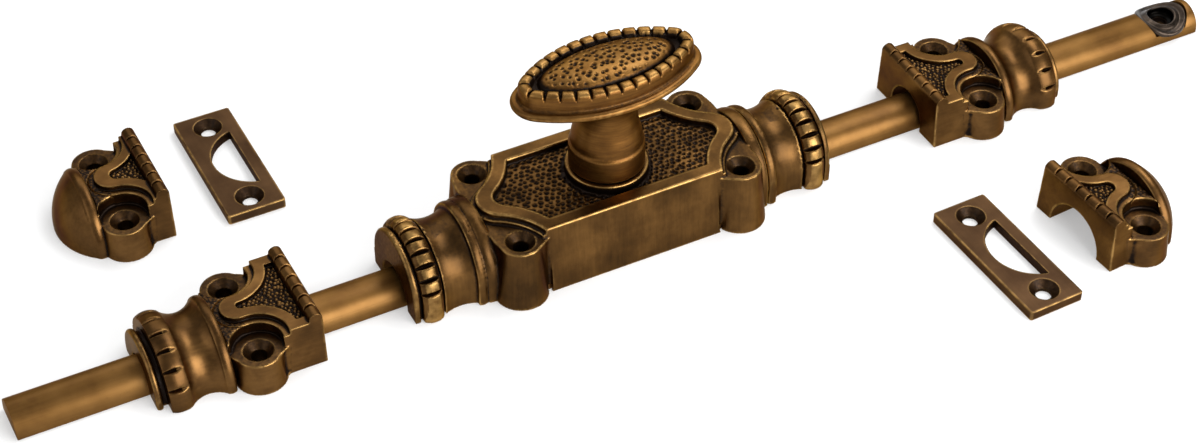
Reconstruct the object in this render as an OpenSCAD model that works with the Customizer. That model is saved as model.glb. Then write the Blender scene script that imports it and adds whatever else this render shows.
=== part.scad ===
// Cremone bolt set in antique brass, shown with both rods drawn back.
// X runs along the rods, with the top end of the bolt at +X, and Z points away from the door.
// The origin lies on the knob axis, in the plane of the door. Sizes are in millimetres.

/* [Rods] */
// Width of the half-round rods
rod_w = 14; // [11:0.5:16]
// Height of a rod from its flat back to its crown
rod_h = 8; // [7.5:0.25:10]
// Gap between the rods and the door
rod_lift = 0.3; // [0.2:0.1:0.6]
// Reach of the top rod from the knob axis
top_rod_reach = 222; // [200:1:400]
// Reach of the bottom rod from the knob axis
bottom_rod_reach = 190; // [175:1:400]
// Distance of the screw hole from the end of the top rod
rod_hole_inset = 10.7; // [10:0.1:16]
// Diameter of the domed washer round that hole
end_washer_d = 17.2; // [13:0.2:18]
// Diameter of the hole in that washer
end_washer_hole_d = 8.5; // [6:0.1:9]
// Height of that washer
end_washer_h = 3; // [2:0.1:4]
// Height of the washer's seat above the back of the rod
end_washer_seat = 3.3; // [2:0.1:5]

/* [Screws] */
// Diameter of the holes for the wood screws
screw_hole_d = 4.8; // [3.5:0.1:5.5]
// Diameter of their countersinks
countersink_d = 9.2; // [7:0.1:10]
// Diameter of the small machine screws
small_screw_d = 3; // [2.5:0.1:3.5]
// Diameter of a small screw's head
small_head_d = 5.6; // [5:0.1:6]

/* [Fits] */
// Gap round a sliding piece
slide_gap = 0.3; // [0.2:0.05:0.5]
// Radial gap round the turning spindle
running_gap = 0.05; // [0.02:0.01:0.1]
// Radial gap of a seated piece
seat_gap = 0.02; // [0.01:0.01:0.05]

/* [Rack and pinion] */
// Module of the teeth
gear_module = 1.5; // [1.4:0.05:1.6]
// Number of teeth on the pinion
gear_teeth = 10; // [10:2:12]
// Pressure angle of the teeth
pressure_angle = 25; // [22:1:27]
// Height of a tooth above the pitch line, in modules
addendum_share = 0.8; // [0.7:0.05:0.85]
// Gap between a tooth's tip and the root it faces
root_gap = 0.3; // [0.2:0.05:0.4]
// Play between the teeth, along the pitch line
backlash = 0.15; // [0.1:0.01:0.3]
// Thickness of a rack behind its teeth
rack_t = 4; // [3:0.25:4.5]
// Length of the arm that carries a rack on its rod
rack_arm_l = 6.4; // [5:0.2:8]
// Length of the lap joint between rack and rod
lap_l = 14; // [11:0.5:16]
// Radius of the spindle
spindle_r = 5; // [4.5:0.1:5.5]
// Radius of the spindle's lower pivot
pivot_r = 3; // [2.5:0.1:3.5]

/* [Case] */
// Height of the case
case_h = 23.8; // [22:0.2:28]
// Length of the straight front edge of the border
case_l = 58; // [56:1:66]
// Width of the case across the border
case_w = 38.6; // [37:0.2:44]
// Amount by which each side face leans out towards the door
case_draft = 2; // [0.5:0.25:4]
// Reach of the border's rounded tips from the knob axis
tip_reach = 43.2; // [42:0.2:46]
// Radius of the hollow sides of the border
hollow_r = 22; // [20:0.5:26]
// Width of the border
border_w = 4.6; // [3:0.2:6]
// Depth of the panel inside the border
panel_depth = 2.2; // [1:0.1:3]
// Width of the step round the border
step_w = 1; // [0.5:0.1:1.4]
// Depth of the step below the border
step_depth = 1.9; // [1:0.1:3]
// Distance of the screw ears from the knob axis, along the rods
ear_x = 37.4; // [36.5:0.1:40]
// Distance of the screw ears from the centre line
ear_y = 17; // [16.5:0.1:20]
// Depth of the ears below the top of the case
ear_drop = 3.2; // [2:0.1:6]
// Diameter of an ear at its top
ear_d = 13; // [11:0.2:15]
// Amount by which an ear's side leans out towards the door
ear_draft = 1.9; // [0.5:0.1:3]
// Wall above the mechanism
case_wall = 4; // [3:0.25:6]
// Diameter of the raised seat under the knob
boss_d = 25.6; // [25.2:0.2:30]

/* [Case necks] */
// Distance from the border's tip to the first collar
neck_gap = 0.8; // [0.4:0.1:2]
// Distance of the end of a neck from the knob axis
neck_end = 71.4; // [70:0.2:80]
// Radius of the collars and the beaded ring
neck_r = 17.4; // [16:0.1:19]
// Height of the centre of a neck's arch above the door
neck_z = 6.4; // [4:0.1:8]
// Radius of the hollow behind the beaded ring
waist_r = 14.2; // [13:0.1:15]
// Radius of the plain lip
lip_r = 15.4; // [15:0.1:16]
// Width of the first collar
collar_w = 4; // [3:0.2:5]
// Width of the second collar
ring_w = 2.8; // [2:0.2:4]
// Width of the beaded ring
bead_ring_w = 6.6; // [5:0.2:8]
// Width of the lip
lip_w = 1.9; // [1:0.1:3]
// Width of the grooves
groove_w = 0.7; // [0.4:0.1:1]
// Number of beads over the arch
bead_count = 12; // [9:1:17]
// Radius of the opening round the rod
mouth_r = 9; // [8:0.1:10]
// Depth of that opening
mouth_depth = 9; // [4:0.5:12]

/* [Guides] */
// Width of a guide across its top rim
guide_w = 32.6; // [31:0.2:36]
// Height of a guide to its top rim
guide_h = 18.7; // [17.5:0.1:21]
// Length of a guide
guide_l = 51; // [50:0.5:58]
// Distance of the screw ears from the face
guide_ear_x = 19.6; // [19:0.1:21]
// Distance of the screw ears from the centre line
guide_ear_y = 14.4; // [14:0.1:16]
// Height of the ears
guide_ear_h = 10.7; // [9:0.1:12]
// Reach of the ribbon's tip from the face
guide_tip = 25.4; // [24.5:0.1:27]
// Radius of the opening in the face
guide_mouth_r = 8.3; // [8:0.1:9.5]
// Height of the opening in the face
guide_mouth_h = 11; // [10:0.1:12]
// Radius of the collar and the notched rim
guide_neck_r = 17.3; // [16:0.1:18.5]
// Height of the centre of the neck's arch
guide_neck_z = 1.7; // [1:0.1:4]
// Radius of the waist
guide_waist_r = 14.3; // [13:0.1:15]
// Number of notches over the rim
notch_count = 9; // [5:1:13]

/* [Keepers] */
// Width of a keeper across its top rim
keeper_w = 33.2; // [32:0.2:36]
// Height of a keeper to its top rim
keeper_h = 18.8; // [17.5:0.1:21]
// Length of a keeper
keeper_l = 33; // [31:0.5:38]
// Distance of the screw ears from the face
keeper_ear_x = 14.6; // [14:0.1:16]
// Distance of the screw ears from the centre line
keeper_ear_y = 14.9; // [14.4:0.1:16]
// Height of the ears
keeper_ear_h = 10.3; // [9:0.1:12]
// Reach of the ribbon's tip from the face
keeper_tip = 18.4; // [18:0.1:20]
// Radius of the pocket for the rod
pocket_r = 10.9; // [9:0.1:11.5]
// Depth of that pocket
pocket_depth = 22; // [16:0.5:24]
// Radius of the ring at the closed end
keeper_ring_r = 17.5; // [16:0.1:18.5]
// Height of the centre of that ring
keeper_ring_z = 1; // [0.5:0.1:3]
// Width of that ring
keeper_ring_w = 3.4; // [2:0.1:5]

/* [Guide and keeper ornament] */
// Width of the ribbon on a guide or keeper
ribbon_w = 3.4; // [2:0.1:4]
// Radius of the ribbon's hollow sides round the ears
ribbon_hollow_r = 9.5; // [9:0.1:11]
// Radius of the pockets round the ears
ear_pocket_r = 7.6; // [7:0.1:8.4]
// Width of the beaded bar along the top rim
rim_w = 4.2; // [3:0.1:5]
// Number of beads on that bar
rim_beads = 7; // [5:1:9]
// Depth of the ribbon below the top rim
ribbon_drop = 2.5; // [1.5:0.1:4]
// Height of the ribbon
ribbon_rise = 1.7; // [0.8:0.1:2.5]
// Diameter of a screw ear of a guide or keeper
small_ear_d = 13.8; // [12:0.1:15]
// Amount by which guides, keepers and their ears lean out towards the door
small_draft = 1; // [0.3:0.1:1.5]

/* [Strike plates] */
// Length of a plate
plate_l = 50.8; // [46:0.2:56]
// Width of a plate
plate_w = 19; // [17:0.2:24]
// Thickness of a plate
plate_t = 3.3; // [2.5:0.1:5]
// Distance between its screw holes
plate_holes = 37.4; // [36:0.1:42]
// Length of the slot's straight side
slot_l = 27.2; // [24:0.1:28]
// Depth of the slot
slot_depth = 10.2; // [8:0.1:12]
// Distance of the slot's straight side from the plate's edge
slot_inset = 4.1; // [3:0.1:5]
// Radius of a plate's corners
plate_corner_r = 0.8; // [0.4:0.1:2]

/* [Knob] */
// Length of the oval knob
knob_l = 62; // [58:1:66]
// Width of the oval knob
knob_w = 33; // [32:1:36]
// Height of the lip above the door
lip_z = 56; // [52:0.5:62]
// Height of the knob's crown above the lip
crown_h = 8.4; // [7:0.1:11]
// Radius of the base of the shank
shank_base_r = 11.7; // [11:0.1:13]
// Radius of the shank's upper part
shank_r = 9.4; // [9:0.1:10.5]
// Height of the shank's base
shank_base_h = 8.3; // [5:0.1:9]
// Height of the bell above the base
shank_bell_h = 11; // [8:0.1:12]
// Number of beads round the rim
knob_beads = 28; // [20:4:36]
// Turn of the oval from the line of the rods, with the rods drawn back
knob_turn = 1; // [0:0.5:6]

/* [Layout of the set] */
// Distance of the bottom guide's face from the knob axis
bottom_guide_x = 100.1; // [99:0.5:130]
// Distance of the top guide's face from the knob axis
top_guide_x = 109.5; // [99:0.5:135]
// Place of the bottom keeper's face
bottom_keeper_at = [-120.9, 71.8];
// Place of the top keeper's face
top_keeper_at = [123.5, -73.3];
// Turn of the top keeper
top_keeper_turn = 4; // [0:0.5:8]
// Place of the bottom strike plate
bottom_plate_at = [-95.4, 76.7];
// Place of the top strike plate
top_plate_at = [99.9, -71.8];
// Turn of the top strike plate
top_plate_turn = 1.8; // [0:0.2:6]

/* [Hidden] */

$fn = 96;
// Overcut of a cut past the face it opens
over = 1;

brass = "#8a6234";
dark_brass = "#5d4226";
steel = "#77777a";

// Rod section
rod_r = rod_w / 2;
rod_top = rod_lift + rod_h;
channel_r = rod_r + slide_gap;
channel_top = rod_top + slide_gap;

rod_hole_x = top_rod_reach - rod_hole_inset;
end_washer_z = rod_lift + end_washer_seat;
// Rim and lip of the domed washer
end_washer_rim_t = 0.7;
end_washer_rim_w = 1.2;
end_washer_lip_r = 0.7;

// Teeth
pitch_r = gear_module * gear_teeth / 2;
base_r = pitch_r * cos(pressure_angle);
addendum = addendum_share * gear_module;
tip_r = pitch_r + addendum;
root_r = pitch_r - addendum - root_gap;
tooth_pitch = PI * gear_module;
tooth_t = tooth_pitch / 2 - backlash / 2;
// Travel of a rod for half a turn of the knob
throw = PI * pitch_r;

// Heights of the mechanism
back_plate_t = 2;
gear_z0 = back_plate_t + slide_gap;
gear_z1 = rod_top - slide_gap;
lap_z = rod_lift + rod_h / 2;
// Metal left above the tip of a rod's screw
rod_screw_cover = 1.2;

// Racks: the top rack runs along -Y and its copy, turned half round, along +Y
rack_tip_y = pitch_r - addendum;
rack_root_y = pitch_r + addendum + root_gap;
rack_back_y = rack_root_y + rack_t;
// Length of rack that stays past the pinion's axis at the end of the travel
mesh_reach = 5;
// Room between pieces of the mechanism that pass each other
pass_gap = 3 * slide_gap;
rack_x0 = -throw - mesh_reach;
rack_x1 = mesh_reach + 1;
arm_x0 = tip_r + pass_gap;
arm_x1 = arm_x0 + rack_arm_l;
lap_x0 = -rack_x0 + 2 * pass_gap;
lap_x1 = lap_x0 + lap_l;
tail_side_y = rack_tip_y - pass_gap;

// Hollow of the case
hollow_y = rack_back_y + slide_gap;
hollow_x = arm_x1 + throw + 2 * slide_gap;
hollow_z = case_h - panel_depth - case_wall;
back_plate_x = lap_x0 - 2 * slide_gap;
back_screw_x = back_plate_x - small_head_d;
back_screw_y = hollow_y + small_head_d / 2;
back_plate_edge = 0.8;
back_plate_y = back_screw_y + small_head_d / 2 + back_plate_edge;
back_screw_l = 9;

// Heights of the case
border_z = case_h;
panel_z = case_h - panel_depth;
step_z = case_h - step_depth;
ear_z = case_h - ear_drop;
boss_rise = 3;
boss_z = panel_z + boss_rise;
bush_r = spindle_r + 2;
bush_flange_r = bush_r + 2;
bush_flange_t = 1;
washer_room = 1.8;
bush_z0 = gear_z1 + washer_room;
washer_t = 0.6;
washer_dish = 0.6;

// The hollow sides of the border are arcs round one point outside each corner. They start
// just past the straight edge, at a slant.
hollow_slant = 16.1;
hollow_start = case_l / 2 + 0.9;
hollow_at = [hollow_start + hollow_r * cos(hollow_slant), case_w / 2 + hollow_r * sin(hollow_slant)];
// The panel's tip is drawn in more than its sides
panel_tip_in = border_w + 0.9;

// Case necks
neck_start = tip_reach + neck_gap;
ring_start = neck_start + collar_w + groove_w / 2;
cove_start = ring_start + ring_w;
lip_start = neck_end - lip_w;
bead_start = lip_start - groove_w - bead_ring_w;
bead_rise = 1.5;
bead_notch_w = 1.8;
bead_notch_depth = 1.2 * bead_rise;
collar_rise = 0.4;
ring_drop = 0.3;
// Length of a neck inside the case
neck_root = 6;
// Rise of a neck's mouth above the top of the rod
mouth_z = mouth_r + rod_lift + 1.2;
// Where an ear's web meets the border's corner and the first collar
web_corner = [case_l / 2 - 0.5, case_w / 2];
web_collar = [neck_start + 0.5, ear_y - 3.4];

// Knob heights
knob_z0 = boss_z + slide_gap;
bell_z0 = knob_z0 + shank_base_h;
bell_z1 = bell_z0 + shank_bell_h;
knob_seat_z = knob_z0 + 14;
// The squares on the spindle stay inside its round
square_w = spindle_r * sqrt(2) - 0.1;
lip_t = 2.4;
rim_bead_r = 1.95;
rim_bead_in = 4.4;
rim_bead_z = lip_z + 5.2;
knob_notch_w = 1.3;
knob_notch_depth = 0.9 * rim_bead_r;
head_under_z = lip_z - 3.6;
head_floor_z = lip_z + 4.4;
head_flare_h = 7.6;
head_flare_w = 2.3;
// Distance of the dome from the lip
dome_in = 7;
// Extra distance at its ends
dome_end_in = 1;
// Step between the shank's base and its bell
shank_step = 0.6;
bell_r = shank_base_r - shank_step;

// The knob's outline is an oval of four arcs. Their centres and joints lie on 3-4-5 triangles,
// so the arcs run smoothly into each other.
oval_end_x = 3 * (knob_l - knob_w) / 4;
oval_drop = 4 * oval_end_x / 3;
oval_side_r = knob_w / 2 + oval_drop;
oval_angle = atan2(4, 3);
knob_end_r = knob_l / 2 - oval_end_x;
// Width of the ring of mouldings round the head, in from its lip
head_ring_w = knob_end_r - 0.5;

// Guides and keepers
rim_notch_w = 1.1;
rim_notch_depth = 1.4;
ribbon_tip_w = ribbon_w + 1.6;
web_in = 2;
// Depth to which an ear's web starts inside the side face and the ear
web_sink = 0.2;
guide_ear = [guide_ear_x, guide_ear_y];
guide_collar_s = guide_tip + 2.4;
guide_collar_w = 3;
guide_collar_rise = 0.5;
// Step from the collar down to the cove beside it
guide_collar_step = 0.2;
guide_lip_w = 2;
guide_lip_r = guide_waist_r - 0.2;
guide_lip_rise = 0.6;
// Groove behind the lip
guide_groove_w = 1.5;
guide_core_r = guide_lip_r - 1.3;
guide_rim_r = guide_neck_r + 0.3;
guide_rim_w = 6.4;
guide_rim_rise = 0.9;
guide_rim_s = guide_l - guide_lip_w - guide_groove_w - guide_rim_w;
notch_w = 1.7;
notch_depth = 0.85 * guide_rim_rise;
// Depth to which a shield runs into the collar or ring behind it
shield_root = 0.5;
keeper_ear = [keeper_ear_x, keeper_ear_y];
keeper_ring_s = keeper_tip + 3;
keeper_ring_rise = 0.6;
keeper_dome_s = keeper_ring_s + keeper_ring_w;
keeper_dome_r = keeper_ring_r - 0.8;
pocket_top = pocket_r + 0.4;

// Radius of an arc from its chord and its rise
function arc_radius(chord, rise) = (chord * chord / 4 + rise * rise) / (2 * rise);

// Radius of the round tip that runs smoothly into two arcs of radius r round [at.x, at.y] and [at.x, -at.y]
function tip_radius(at, r, reach) =
    (pow(at.x - reach, 2) + pow(at.y, 2) - r * r) / (2 * r - 2 * (at.x - reach));

// Where that tip meets the arcs
function tip_joint(at, r, reach) =
    let (t = tip_radius(at, r, reach), c = reach - t)
    c + t * (at.x - c) / (r + t);

function involute_deg(r) =
    let (a = acos(min(1, base_r / r)))
    tan(a) * 180 / PI - a;

// Half of a tooth's angle at radius r
function half_tooth(r) =
    tooth_t / (2 * pitch_r) * 180 / PI + involute_deg(pitch_r) - involute_deg(max(r, base_r));

function polar(r, a) = [r * cos(a), r * sin(a)];

// Point where the line from p touches the circle of radius r round c, on the side given by its sign
function touch_point(p, c, r, side) =
    let (v = c - p, d = norm(v), a = atan2(v.y, v.x) + side * asin(r / d))
    p + sqrt(d * d - r * r) * [cos(a), sin(a)];

// General forms

// Places a section drawn in Y and Z and runs it along X
module along_x(x0, x1) {
    translate([x0, 0, 0]) rotate([90, 0, 90]) linear_extrude(x1 - x0) children();
}

// Half-round section on straight feet
module arch_section(half_w, crown, foot = 0) {
    spring = crown - half_w;
    intersection() {
        translate([0, spring]) circle(half_w);
        translate([-half_w, spring]) square([2 * half_w, half_w + over]);
    }
    translate([-half_w, -foot]) square([2 * half_w, spring + foot]);
}

// Turns a profile, drawn as radius and distance, over the top of an arch that stands on straight feet
module turned_arch(axis_z) {
    translate([0, 0, axis_z]) rotate([0, 90, 0]) rotate_extrude(angle = 180, start = 90) children();
    linear_extrude(axis_z) {
        rotate(-90) children();
        mirror([1, 0]) rotate(90) children();
    }
}

// Band of a turned profile with a crowned outside
module crowned_band(r, s0, s1, rise) {
    crown = arc_radius(s1 - s0, rise);
    translate([0, s0]) square([r - rise, s1 - s0]);
    intersection() {
        translate([r - crown, (s0 + s1) / 2]) circle(crown);
        translate([r - rise, s0]) square([rise + over, s1 - s0]);
    }
}

// Band of a turned profile with a hollow outside
module hollow_band(r0, r1, s0, s1) {
    cove = arc_radius(s1 - s0, r1 - r0);
    difference() {
        translate([0, s0]) square([r1, s1 - s0]);
        translate([r0 + cove, (s0 + s1) / 2]) circle(cove);
    }
}

// Section of a V-groove of a given width and depth, below a surface at height z
module v_groove(w, depth, z) {
    reach = w / 2 * (depth + over) / depth;
    polygon([[0, z - depth], [reach, z + over], [-reach, z + over]]);
}

// V-grooves over a turned arch at equal steps
module arch_notches(count, r, axis_z, s0, s1, notch_w, depth) {
    for (k = [1 : count - 1])
        translate([0, 0, axis_z])
            rotate([90 - 180 * k / count, 0, 0])
                along_x(s0, s1) v_groove(notch_w, depth, r);
}

// Countersunk screw hole with its mouth at height z
module screw_hole(z, d = screw_hole_d, head_d = countersink_d) {
    head_h = (head_d - d) / 2;
    translate([0, 0, -over]) cylinder(d = d, h = z + 2 * over);
    translate([0, 0, z - head_h]) cylinder(d1 = d, d2 = head_d, h = head_h);
    translate([0, 0, z]) cylinder(d = head_d, h = over);
}

// Places a copy at each of two ears
module both_sides(y) {
    for (side = [-1, 1])
        translate([0, side * y, 0]) children();
}

module four_corners(x, y) {
    for (sx = [-1, 1], sy = [-1, 1])
        translate([sx * x, sy * y, 0]) children();
}

// Web that ties a screw ear to the piece on each side of it
module ear_web(p0, ear, r, p1) {
    polygon([[p0.x, 0], p0, touch_point(p0, ear, r, 1), touch_point(p1, ear, r, -1), p1, [p1.x, 0]]);
}

// Outline with hollow sides that come together in a round tip at +X
module tip_half(at, r, reach, half_w) {
    t = tip_radius(at, r, reach);
    difference() {
        union() {
            translate([0, -half_w]) square([tip_joint(at, r, reach), 2 * half_w]);
            intersection() {
                translate([reach - t, 0]) circle(t);
                translate([0, -half_w]) square([reach + over, 2 * half_w]);
            }
        }
        for (side = [-1, 1])
            translate([at.x, side * at.y]) circle(r);
    }
}

// Case

module border_outline(grow, reach, half_w) {
    for (side = [0, 180])
        rotate(side) tip_half(hollow_at, hollow_r - grow, reach, half_w);
}

module neck_profile() {
    translate([0, neck_start - neck_root]) square([waist_r, neck_end - neck_start + neck_root]);
    crowned_band(neck_r, neck_start, neck_start + collar_w, collar_rise);
    crowned_band(neck_r - ring_drop, ring_start, cove_start, collar_rise);
    hollow_band(waist_r, lip_r, cove_start, bead_start - groove_w);
    crowned_band(neck_r, bead_start, bead_start + bead_ring_w, bead_rise);
    translate([0, lip_start]) square([lip_r, lip_w]);
}

module case_body() {
    // Side faces that lean out towards the door
    along_x(-case_l / 2, case_l / 2)
        polygon([[-case_w / 2 - case_draft, 0], [case_w / 2 + case_draft, 0],
                 [case_w / 2, step_z], [-case_w / 2, step_z]]);
    linear_extrude(step_z) border_outline(step_w, neck_start + groove_w, case_w / 2);
    linear_extrude(border_z) border_outline(0, tip_reach, case_w / 2);
    four_corners(ear_x, ear_y)
        cylinder(d1 = ear_d + 2 * ear_draft, d2 = ear_d, h = ear_z);
    linear_extrude(ear_z)
        for (mx = [0, 1], my = [0, 1])
            mirror([mx, 0]) mirror([0, my])
                ear_web(web_corner, [ear_x, ear_y], ear_d / 2, web_collar);
    for (side = [0, 180])
        rotate(side) turned_arch(neck_z) neck_profile();
}

module gearbox_case() {
    color(brass) difference() {
        union() {
            // Pitted panel, with a raised seat for the knob
            difference() {
                case_body();
                translate([0, 0, panel_z])
                    linear_extrude(panel_depth + over)
                        border_outline(-border_w, tip_reach - panel_tip_in, case_w / 2 - border_w);
            }
            translate([0, 0, hollow_z + over]) cylinder(d = boss_d, h = boss_z - hollow_z - over);
        }
        // Hollow for the racks, with the bush's boss left standing
        difference() {
            translate([-hollow_x, -hollow_y, -over]) cube([2 * hollow_x, 2 * hollow_y, hollow_z + over]);
            translate([0, 0, bush_z0]) cylinder(r = bush_flange_r, h = hollow_z);
        }
        translate([-back_plate_x - seat_gap, -back_plate_y - seat_gap, -over])
            cube([2 * (back_plate_x + seat_gap), 2 * (back_plate_y + seat_gap), back_plate_t + over]);
        four_corners(back_screw_x, back_screw_y)
            cylinder(d = small_screw_d + 2 * seat_gap, h = back_screw_l + back_plate_t);
        // Bush seat
        translate([0, 0, bush_z0 - over]) cylinder(r = bush_r + seat_gap, h = boss_z);
        translate([0, 0, boss_z - bush_flange_t]) cylinder(r = bush_flange_r + seat_gap, h = bush_flange_t + over);
        // Rod channels
        along_x(-neck_end - over, neck_end + over) arch_section(channel_r, channel_top, over);
        for (side = [0, 180])
            rotate(side) along_x(neck_end - mouth_depth, neck_end + over)
                arch_section(mouth_r, mouth_z, over);
        four_corners(ear_x, ear_y) screw_hole(ear_z);
        for (side = [0, 180])
            rotate(side)
                arch_notches(bead_count, neck_r, neck_z, bead_start - groove_w / 2,
                             bead_start + bead_ring_w + groove_w / 2, bead_notch_w, bead_notch_depth);
    }
}

module back_plate() {
    color(dark_brass) difference() {
        translate([-back_plate_x, -back_plate_y, 0])
            cube([2 * back_plate_x, 2 * back_plate_y, back_plate_t]);
        translate([0, 0, -over]) cylinder(r = pivot_r + running_gap, h = back_plate_t + 2 * over);
        four_corners(back_screw_x, back_screw_y)
            mirror([0, 0, 1]) translate([0, 0, -back_plate_t])
                screw_hole(back_plate_t, small_screw_d + 2 * seat_gap, small_head_d + 2 * seat_gap);
    }
}

// Countersunk machine screw, head down at z = 0
module flat_screw(d, head_d, l) {
    head_h = (head_d - d) / 2;
    color(steel) difference() {
        union() {
            cylinder(d1 = head_d, d2 = d, h = head_h);
            cylinder(d = d, h = l);
        }
        translate([-head_d, -0.4, -over]) cube([2 * head_d, 0.8, over + head_h / 2]);
    }
}

module back_plate_screw(k) {
    sx = k < 2 ? -1 : 1;
    sy = k % 2 == 0 ? -1 : 1;
    translate([sx * back_screw_x, sy * back_screw_y, 0])
        flat_screw(small_screw_d, small_head_d, back_screw_l);
}

module spindle_bush() {
    color(dark_brass) difference() {
        union() {
            translate([0, 0, bush_z0]) cylinder(r = bush_r, h = boss_z - bush_z0);
            translate([0, 0, boss_z - bush_flange_t]) cylinder(r = bush_flange_r, h = bush_flange_t);
        }
        translate([0, 0, bush_z0 - over])
            cylinder(r = spindle_r + running_gap, h = boss_z - bush_z0 + 2 * over);
    }
}

// Dished spring washer that holds the knob where it is turned to
module friction_washer() {
    color(steel) translate([0, 0, bush_z0 - washer_dish - washer_t])
        rotate_extrude()
            polygon([[spindle_r + running_gap, washer_dish], [bush_flange_r, 0],
                     [bush_flange_r, washer_t], [spindle_r + running_gap, washer_dish + washer_t]]);
}

// Moving pieces on the spindle

// Sweeps a profile, drawn as distance in from the lip and height, round the oval
module round_oval() {
    for (side = [0, 180])
        rotate(side) {
            translate([oval_end_x, 0, 0])
                rotate_extrude(angle = 2 * oval_angle, start = -oval_angle)
                    translate([knob_end_r, 0]) children();
            translate([0, -oval_drop, 0])
                rotate_extrude(angle = 180 - 2 * oval_angle, start = oval_angle)
                    translate([oval_side_r, 0]) children();
        }
}

// Area of the oval, drawn in by a distance
module oval_area(inset) {
    end_r = knob_end_r - inset;
    intersection() {
        translate([0, -oval_drop]) circle(oval_side_r - inset);
        translate([0, oval_drop]) circle(oval_side_r - inset);
        translate([-oval_end_x, -knob_w]) square([2 * oval_end_x, 2 * knob_w]);
    }
    for (side = [-1, 1])
        translate([side * oval_end_x, 0]) circle(end_r);
}

// Mouldings of the head: the underside, the lip and the wall that carries the beads
module head_profile() {
    wall_x = rim_bead_r - rim_bead_in;
    polygon([[-head_ring_w, head_under_z], [-lip_t / 2, lip_z - lip_t / 2], [-lip_t / 2, lip_z + lip_t / 2],
             [wall_x, lip_z + lip_t / 2], [wall_x, rim_bead_z], [wall_x - rim_bead_r, rim_bead_z],
             [wall_x - rim_bead_r, head_floor_z], [-head_ring_w, head_floor_z]]);
    translate([-lip_t / 2, lip_z]) circle(lip_t / 2);
    translate([-rim_bead_in, rim_bead_z]) circle(rim_bead_r);
}

// Point and direction on the oval at share t of a turn, drawn in by a distance
function oval_quarter(inset) =
    (knob_end_r - inset) * oval_angle + (oval_side_r - inset) * (90 - oval_angle);

function oval_turn(t, inset) =
    let (s = t * oval_quarter(inset), end_s = (knob_end_r - inset) * oval_angle)
    s < end_s ? s / (knob_end_r - inset) : oval_angle + (s - end_s) / (oval_side_r - inset);

function oval_point(a, inset) =
    a < oval_angle
    ? [oval_end_x, 0] + polar(knob_end_r - inset, a)
    : [0, -oval_drop] + polar(oval_side_r - inset, a);

module rim_notches() {
    steps = round(knob_beads / 4);
    for (k = [0.5 : steps - 0.5], mx = [0, 1], my = [0, 1]) {
        a = oval_turn(k / steps, rim_bead_in);
        mirror([mx, 0, 0]) mirror([0, my, 0])
            translate(concat(oval_point(a, rim_bead_in), [rim_bead_z]))
                rotate(a) along_x(-rim_bead_r - over, rim_bead_r + over)
                    v_groove(knob_notch_w, knob_notch_depth, rim_bead_r);
    }
}

module knob_head() {
    difference() {
        union() {
            round_oval() head_profile();
            translate([0, 0, head_under_z])
                linear_extrude(head_floor_z - head_under_z) oval_area(head_ring_w - 0.3);
        }
        rim_notches();
    }
    dome_h = lip_z + crown_h - head_floor_z;
    intersection() {
        translate([0, 0, head_floor_z])
            scale([knob_l / 2 - dome_in - dome_end_in, knob_w / 2 - dome_in, dome_h]) sphere(1);
        translate([-knob_l / 2, -knob_w / 2, head_floor_z - over]) cube([knob_l, knob_w, dome_h + 2 * over]);
    }
}

// Turned shank: a base, a bell that runs out in an S-curve, a straight neck and a flare under the head
module shank_profile() {
    half_h = shank_bell_h / 2;
    half_rise = (bell_r - shank_r) / 2;
    bell = arc_radius(2 * half_h, half_rise);
    flare = arc_radius(2 * head_flare_h, head_flare_w);
    difference() {
        translate([0, bell_z0]) square([shank_r + half_rise, shank_bell_h]);
        translate([shank_r + bell, bell_z1]) circle(bell);
    }
    intersection() {
        translate([bell_r - bell, bell_z0]) circle(bell);
        translate([0, bell_z0]) square([bell_r, half_h]);
    }
    translate([0, knob_z0]) square([shank_base_r, shank_base_h - shank_step]);
    translate([shank_base_r - shank_step, bell_z0 - shank_step]) circle(shank_step);
    translate([0, knob_z0]) square([bell_r, shank_base_h]);
    translate([0, bell_z1]) square([shank_r, head_under_z - bell_z1]);
    difference() {
        translate([0, head_under_z - head_flare_h]) square([shank_r + head_flare_w, head_flare_h + over]);
        translate([shank_r + flare, head_under_z - head_flare_h]) circle(flare);
    }
}

module knob() {
    color(brass) rotate(knob_turn) difference() {
        union() {
            rotate_extrude() shank_profile();
            knob_head();
        }
        rotate(-knob_turn) translate([0, 0, knob_z0 - over])
            linear_extrude(knob_seat_z - knob_z0 + over) square(square_w + 2 * seat_gap, center = true);
    }
}

module spindle() {
    color(steel) {
        translate([0, 0, rod_lift]) cylinder(r = pivot_r, h = gear_z0 - rod_lift);
        translate([0, 0, gear_z0]) linear_extrude(gear_z1 - gear_z0) square(square_w, center = true);
        translate([0, 0, gear_z1]) cylinder(r = spindle_r, h = boss_z - gear_z1);
        translate([0, 0, boss_z]) linear_extrude(knob_seat_z - boss_z - 0.5) square(square_w, center = true);
    }
}

module pinion_outline() {
    flank_steps = 5;
    flank = [for (k = [0 : flank_steps]) base_r + (tip_r - base_r) * k / flank_steps];
    polygon([
        for (k = [0 : gear_teeth - 1])
            let (a = 90 + 360 * k / gear_teeth)
            each concat(
                [polar(root_r, a - half_tooth(base_r))],
                [for (r = flank) polar(r, a - half_tooth(r))],
                [for (j = [flank_steps : -1 : 0]) polar(flank[j], a + half_tooth(flank[j]))],
                [polar(root_r, a + half_tooth(base_r))]
            )
    ]);
}

module pinion() {
    color(steel) translate([0, 0, gear_z0]) linear_extrude(gear_z1 - gear_z0) difference() {
        pinion_outline();
        square(square_w + 2 * seat_gap, center = true);
    }
}

// Racks and rods, drawn for the top side

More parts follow.
